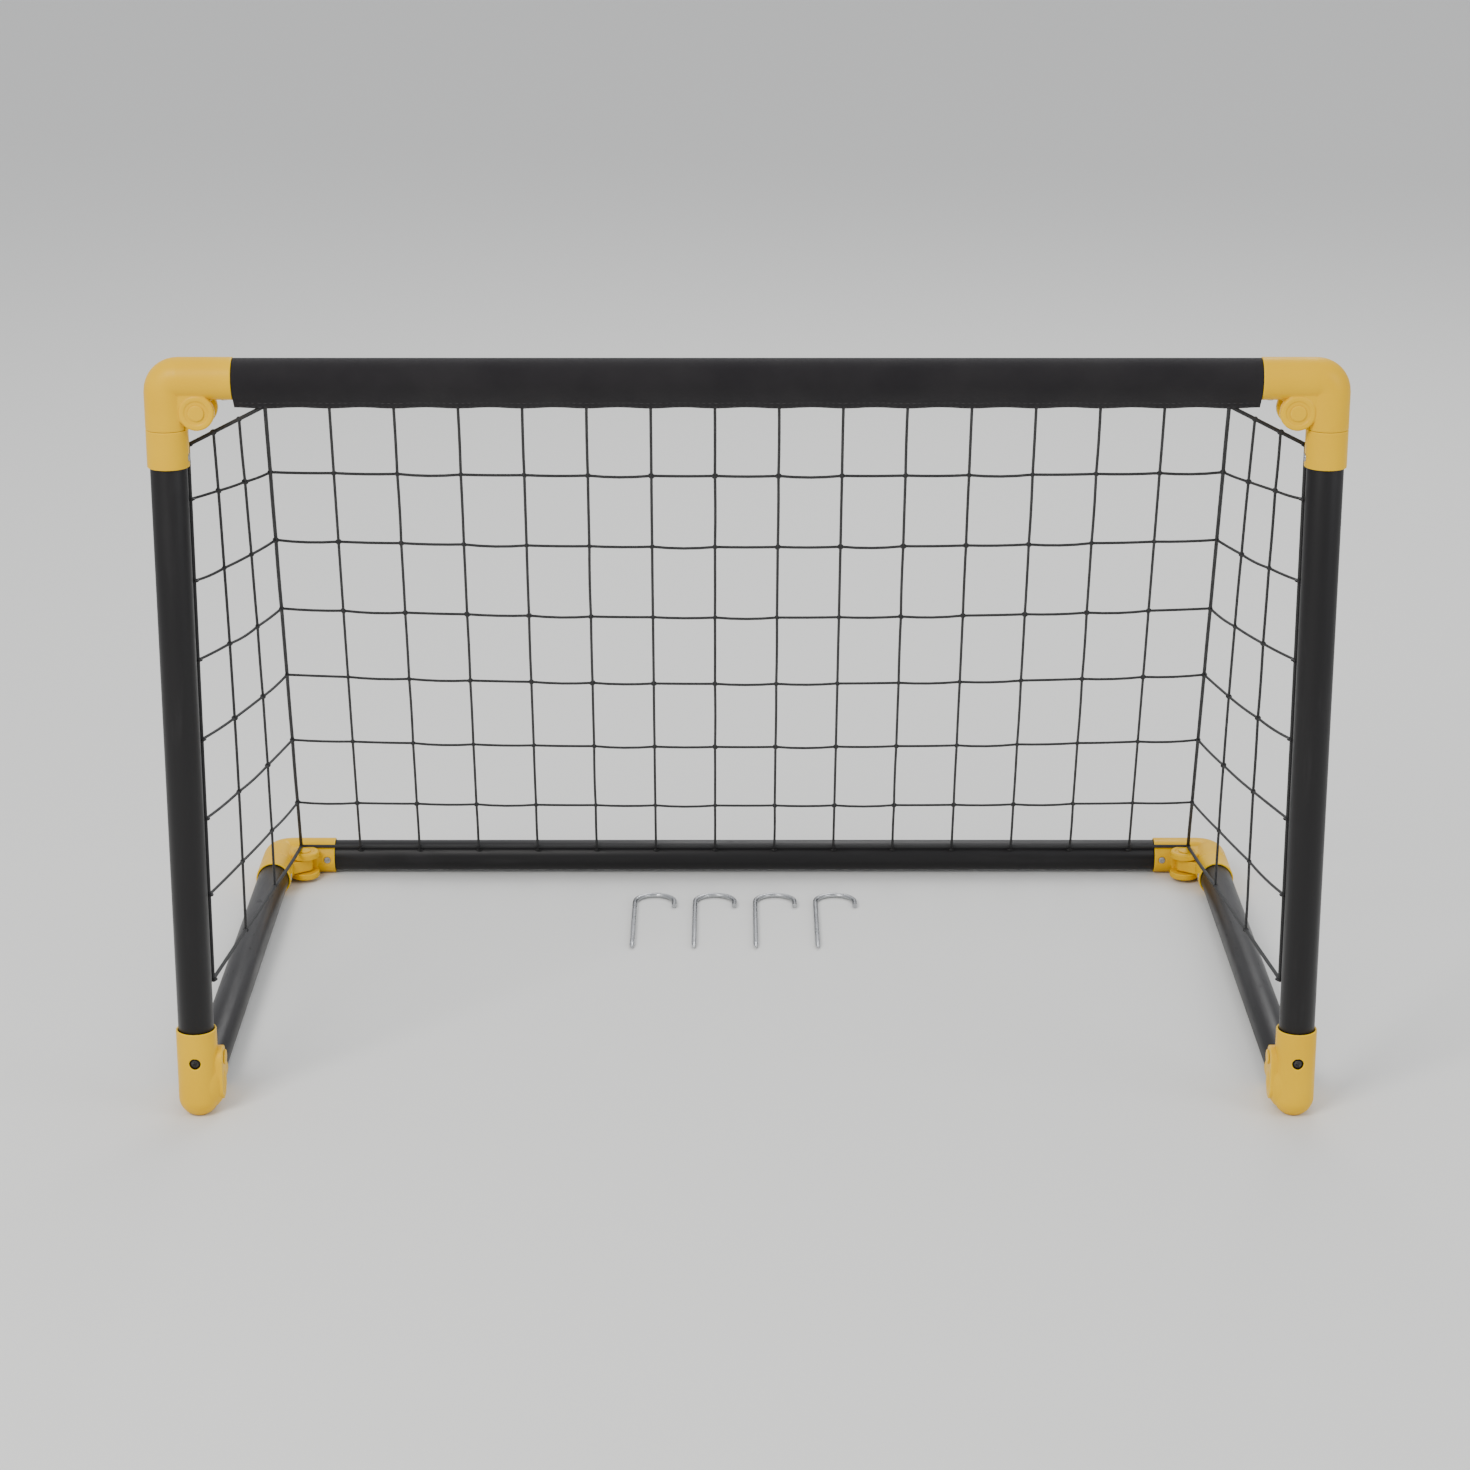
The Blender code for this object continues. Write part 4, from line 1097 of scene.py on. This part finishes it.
# %% Wrap the strip
def sleeve():
    bpy.ops.mesh.primitive_grid_add(x_subdivisions=360, y_subdivisions=56, size=1)
    strip = bpy.context.object
    length = 2 * SLEEVE_HALF
    weave = strip.data.uv_layers[0]
    weave.name = "weave"
    for loop in weave.data:
        loop.uv = (loop.uv.x * length, loop.uv.y * WEAVE_GIRTH)
    for vert in strip.data.vertices:
        x = vert.co.x * length
        y, z = drop_point(vert.co.y + 0.5)
        low = min(1.0, max(0.0, -z / HEM_DROP))
        side = 1 if y > 0 else -1
        vert.co = (x, FRONT_Y + y + side * pucker(x, side, low), CROSSBAR_Z + z + hem_lift(x, low))
    shaped(strip, "SOLIDIFY", thickness=CLOTH, offset=0)
    return smooth(strip, 60)


sleeve_piece = sleeve()
finished(sleeve_piece, "crossbar_sleeve_cloth", cloth, "sleeve_fabric", "crossbar", "crossbar_sleeve")

# %% [markdown]
# The hem is held by two seams of small stitches. One stitch is a little cushion of thread, made once with
# few faces and copied along the seam, in front and behind. All stitches of a seam become one mesh.


# %% Stitches
STITCH = (3.0 * MM, 0.55 * MM, 0.65 * MM)
STITCH_PITCH = 4.6 * MM
STITCH_PROUD = 0.42 * MM
SEAM_DROPS = (17.6 * MM, 21.2 * MM)
STITCHES = int((2 * SLEEVE_HALF - 8 * MM) / STITCH_PITCH)


def one_stitch():
    bpy.ops.mesh.primitive_uv_sphere_add(segments=6, ring_count=5, radius=0.5, rotation=(0, math.pi / 2, 0))
    stitch = settled(bpy.context.object)
    stitch.data.transform(Matrix.Diagonal((*STITCH, 1)))
    return smooth(stitch, 180)


def side_at(drop):
    """How far the sleeve's side stands out from the pipe's middle plane at this drop."""
    up = 1 - drop / HEM_DROP
    return HEM_HALF + (SLEEVE_RADIUS - HEM_HALF) * math.sin(up * math.pi / 2)


def seam(drop, side):
    """A row of stitches on the front (-1) or the back (1) of the sleeve."""
    master = one_stitch()
    low = drop / HEM_DROP
    stitches = []
    for i in range(STITCHES + 1):
        x = (i - STITCHES / 2) * STITCH_PITCH
        out = side_at(drop) + pucker(x, side, low) + STITCH_PROUD
        z = CROSSBAR_Z - drop + hem_lift(x, low)
        tilt = Matrix.Rotation(math.radians(4 * math.sin(i * 2.4)), 4, "Y")
        stitches.append(copied(master, Matrix.Translation((x, FRONT_Y + side * out, z)) @ tilt))
    bpy.data.objects.remove(master)
    return joined(stitches)


for side, title in ((-1, "front"), (1, "back")):
    for level, drop in zip(("upper", "lower"), SEAM_DROPS):
        row = seam(drop, side)
        finished(row, f"sleeve_{title}_{level}_seam", thread, "sleeve_fabric", "crossbar")
print("four seams of", STITCHES + 1, "stitches")

# %% [markdown]
# ## The net
#
# The net is knotted cord with tall meshes: sixteen cords run down the back, and six rows and the bottom rope
# cross them. At each rear corner line the rows turn forwards and run on to the posts, where small hooks hold
# them. A thicker rope edges it all and cuts each top corner off slantwise, from the sleeve to the post.
#
# Every cord is one line of points. Between two knots it hangs through a little, and the whole back sags
# by a centimetre in the middle. The lines become round cords as bevelled curves. The knots are one small
# flattened ball, made once and copied, each turned a little differently.


# %% Lines of the net
NET_SLOPES = (0.0, 0.124, 0.259, 0.405, 0.556, 0.715, 0.878, 1.0)
POST_HEIGHTS = (0.540, 0.498, 0.434, 0.371, 0.307, 0.242, 0.179, 0.108)
NET_BOTTOM_HALF = 0.414
SIDE_CORDS = 3
CORD_RADIUS = 1.15 * MM
ROPE_RADIUS = 1.55 * MM
BACK_SAG = 9 * MM
CELL_SAG = 1.3 * MM
SIDE_SLACK = 4 * MM
HEM_LAP = 1.5 * MM
ROPE_GAP = 4.6 * MM

net_top = Vector((0, FRONT_Y, CROSSBAR_Z - HEM_DROP + HEM_LAP))
bar_axis = Vector((0, REAR_Y, BASE_Z))
slope_way = (bar_axis - net_top).normalized()
net_bottom = bar_axis - slope_way * (PIPE_RADIUS + ROPE_GAP)
sag_way = Vector((0, slope_way.z, -slope_way.y))
inward_back = (PIPE_RADIUS + ROPE_GAP) / math.sqrt(2)


def back_point(across, slope):
    """A point of the back net: across runs from -1 to 1, slope from 0 at the hem to 1 at the back bar."""
    half = NET_TOP_HALF + (NET_BOTTOM_HALF - NET_TOP_HALF) * slope
    sag = BACK_SAG * math.sin(math.pi * slope) * (1 - across * across)
    point = net_top.lerp(net_bottom, slope) + sag_way * sag
    return Vector((across * half, point.y, point.z))


def post_height(slope):
    """Where a row at this slope meets the post."""
    for i in range(len(NET_SLOPES) - 1):
        low, high = NET_SLOPES[i], NET_SLOPES[i + 1]
        if slope <= high:
            share = (slope - low) / (high - low)
            return POST_HEIGHTS[i] + (POST_HEIGHTS[i + 1] - POST_HEIGHTS[i]) * share
    return POST_HEIGHTS[-1]


def side_point(sign, forward, slope):
    """A point of a side net: forward runs from 0 on the corner line to 1 at the post."""
    corner = back_point(sign, slope)
    post = Vector((sign * (POST_X - inward_back), FRONT_Y + inward_back, post_height(slope)))
    point = corner.lerp(post, forward)
    slack = SIDE_SLACK * math.sin(math.pi * forward) * math.sin(math.pi * slope)
    return point + Vector((-sign * slack * 0.6, 0, -slack * 0.4))


def hanging(points, per_cell, lively):
    """The line through the knots, per_cell steps for each stretch, which sags by its own amount."""
    line = []
    for i, (first, second) in enumerate(zip(points, points[1:])):
        sag = CELL_SAG * (0.55 + 0.45 * math.sin(lively + i * 2.1)) * min(1.0, (second - first).length / 0.05)
        for step in range(per_cell):
            share = step / per_cell
            drop = sag * 4 * share * (1 - share)
            line.append(first.lerp(second, share) + Vector((0.3 * drop * math.cos(lively), 0, -drop)))
    return line + [points[-1]]


def cords(name, lines, radius, rounds=2, shares=None, degrees=60):
    """Round curves through the lines, as one mesh; shares thins each line's points one by one."""
    curve = bpy.data.curves.new(name, "CURVE")
    curve.dimensions = "3D"
    curve.bevel_depth = radius
    curve.bevel_resolution = rounds
    curve.use_fill_caps = True
    for line in lines:
        spline = curve.splines.new("POLY")
        spline.points.add(len(line) - 1)
        for point, place, share in zip(spline.points, line, shares or [1.0] * len(line)):
            point.co = (*place, 1.0)
            point.radius = share
    made = bpy.data.objects.new(name, curve)
    bpy.context.scene.collection.objects.link(made)
    only(made)
    bpy.ops.object.convert(target="MESH")
    return smooth(tidy_skin(bpy.context.object), degrees)


# %% Knots
KNOT = (2.5 * MM, 1.7 * MM, 2.1 * MM)


def knots(places):
    """Small flattened balls, one on each crossing, each turned its own way."""
    bpy.ops.mesh.primitive_uv_sphere_add(segments=8, ring_count=6, radius=1)
    master = smooth(bpy.context.object, 180)
    made = []
    for i, place in enumerate(places):
        size = 1 + 0.12 * math.sin(i * 1.7)
        turn = Matrix.Rotation(0.5 * math.sin(i * 2.3), 4, "Y") @ Matrix.Rotation(0.3 * math.cos(i), 4, "Z")
        scale = Matrix.Diagonal((KNOT[0] * size, KNOT[1], KNOT[2] * size, 1))
        made.append(copied(master, Matrix.Translation(place) @ turn @ scale))
    bpy.data.objects.remove(master)
    return joined(made)


def netting(thin, thick, crossings):
    """One net as one mesh: its cords, its edge ropes and its knots."""
    pieces = [cords("cords", thin, CORD_RADIUS), cords("ropes", thick, ROPE_RADIUS), knots(crossings)]
    return joined(pieces)


# %% Back net
def back_lines():
    shares = [2 * i / NET_COLUMNS - 1 for i in range(NET_COLUMNS + 1)]
    columns = [
        hanging([back_point(across, slope) for slope in NET_SLOPES], 6, across * 9)
        for across in shares[1:-1]
    ]
    rows = [
        hanging([back_point(across, slope) for across in shares], 4, slope * 31)
        for slope in NET_SLOPES[1:-1]
    ]
    ropes = [
        hanging([back_point(sign, slope) for slope in NET_SLOPES], 6, sign * 2.0) for sign in (-1, 1)
    ]
    ropes.append([back_point(across, 1.0) for across in shares])
    crossings = [back_point(across, slope) for across in shares for slope in NET_SLOPES[1:]]
    return columns + rows, ropes, crossings


thin, thick, crossings = back_lines()
back_net = netting(thin, thick, crossings)
finished(back_net, "back_netting", net_cord, "net_cord", None, "back_net")
print("back net:", len(thin), "cords,", len(crossings), "knots,", len(back_net.data.polygons), "faces")


# %% Side nets
def side_lines(sign):
    steps = [i / SIDE_CORDS for i in range(SIDE_CORDS + 1)]
    columns = [
        hanging([side_point(sign, forward, slope) for slope in NET_SLOPES], 6, forward * 9 + sign)
        for forward in steps[1:-1]
    ]
    rows = [
        hanging([side_point(sign, forward, slope) for forward in steps], 6, slope * 17 + sign)
        for slope in NET_SLOPES[1:-1]
    ]
    ropes = [
        [side_point(sign, forward / 12, 0.0) for forward in range(13)],
        hanging([side_point(sign, forward, 1.0) for forward in steps], 8, 1.0),
        [side_point(sign, 1.0, slope / 40) for slope in range(41)],
    ]
    crossings = [side_point(sign, forward, slope) for forward in steps[1:] for slope in NET_SLOPES]
    return columns + rows, ropes, crossings


side_nets = {}
for side, sign in SIDES:
    thin, thick, crossings = side_lines(sign)
    net = netting(thin, thick, crossings)
    finished(net, f"{side}_netting", net_cord, "net_cord", None, f"{side}_side_net")
    side_nets[side] = net
    print(side, "side net:", len(thin), "cords,", len(crossings), "knots")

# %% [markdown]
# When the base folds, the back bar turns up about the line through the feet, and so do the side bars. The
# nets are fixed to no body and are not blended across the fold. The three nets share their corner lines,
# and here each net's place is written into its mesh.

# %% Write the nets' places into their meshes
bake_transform(back_net)
for side, net in side_nets.items():
    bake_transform(net)

# %% [markdown]
# ## Net hooks
#
# Small black moulded hooks hold the edge rope: on each post where a row ends, and on the back bar where a
# cord ends. A hook is a flat pad on the pipe and an eye that stands on it, with the rope through the eye.
# They sit behind the posts and on top of the back bar, so from the front the pipes look clean. One hook is
# made from a ring and a flattened ball, with few faces, and copied.


# %% Hooks
HOOK_EYE = 2.9 * MM
HOOK_WIRE = 0.85 * MM
HOOK_PAD = (3.4 * MM, 3.4 * MM, 1.3 * MM)


def net_hook(reach):
    """A hook along Z: its eye is round the origin in the YZ plane, and its pad lies reach below."""
    bpy.ops.mesh.primitive_torus_add(
        major_radius=HOOK_EYE,
        minor_radius=HOOK_WIRE,
        major_segments=20,
        minor_segments=8,
        rotation=(0, math.radians(90), 0),
    )
    eye = settled(bpy.context.object)
    bpy.ops.mesh.primitive_uv_sphere_add(
        segments=14, ring_count=8, radius=1, location=(0, 0, -reach), scale=HOOK_PAD
    )
    pad = settled(bpy.context.object)
    return smooth(joined([eye, pad]), 60)


def hook_frame(place, outward, rope_way):
    """A matrix that turns the hook's Z to outward and its X along the rope."""
    up = Vector(outward).normalized()
    side = up.cross(Vector(rope_way)).normalized()
    turn = Matrix((side.cross(up), side, up)).transposed().to_4x4()
    return Matrix.Translation(place) @ turn


def row_of_hooks(frames, reach):
    master = net_hook(reach)
    made = [copied(master, matrix) for matrix in frames]
    bpy.data.objects.remove(master)
    return joined(made)


ROPE_REACH = inward_back * math.sqrt(2)
for side, sign in SIDES:
    outward = (-sign, 1, 0)
    frames = [hook_frame(side_point(sign, 1.0, slope), outward, (0, 0, 1)) for slope in NET_SLOPES]
    hooks = row_of_hooks(frames, ROPE_REACH - PIPE_RADIUS)
    finished(hooks, f"{side}_post_hooks", pipe_finish[2], "black_tube", f"{side}_post")

frames = [
    hook_frame(back_point(2 * i / NET_COLUMNS - 1, 1.0), -slope_way, (1, 0, 0))
    for i in range(NET_COLUMNS + 1)
]
bar_hooks = row_of_hooks(frames, ROPE_GAP)
finished(bar_hooks, "back_bar_hooks", pipe_finish[0], "black_tube", "back_bar")
print("hooks:", 2 * len(NET_SLOPES), "on the posts,", NET_COLUMNS + 1, "on the back bar")

# %% [markdown]
# ## Ground pegs
#
# Each peg is one piece of bright wire: a straight shank, a half circle for a hook and a short tail. It is a
# bevelled curve whose first points are thinner, which grinds the tip to a point.


# %% Pegs
PEG_BEND_STEPS = 24
PEG_TAIL = 10 * MM
TIP_POINTS = ((0, 0.12), (2 * MM, 0.4), (8 * MM, 0.96), (9 * MM, 1.0))


def peg(low, high):
    """A peg that fills the box of its working piece."""
    radius = (high.z - low.z) / 2
    hook = (high.x - low.x - 2 * radius) / 2
    x, z = low.x + radius, low.z + radius
    bend_y = high.y - radius - hook
    steps = [math.pi * (1 - i / PEG_BEND_STEPS) for i in range(PEG_BEND_STEPS + 1)]
    bend = [(x + hook + hook * math.cos(a), bend_y + hook * math.sin(a), z) for a in steps]
    tip = [(x, low.y + up, z) for up, _ in TIP_POINTS]
    line = tip + [(x, bend_y - PEG_TAIL, z)] + bend + [(x + 2 * hook, bend_y - PEG_TAIL, z)]
    shares = [share for _, share in TIP_POINTS] + [1.0] * (len(line) - len(TIP_POINTS))
    return cords("peg", [line], radius, 6, shares, 50)


peg_names = [name for name in frame["nodes"] if name.startswith("ground_peg")]
for name in sorted(peg_names):
    finished(peg(*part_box(name)), f"{name}_wire", wire, "peg_steel", "pegs", name)
print(len(peg_names), "pegs")
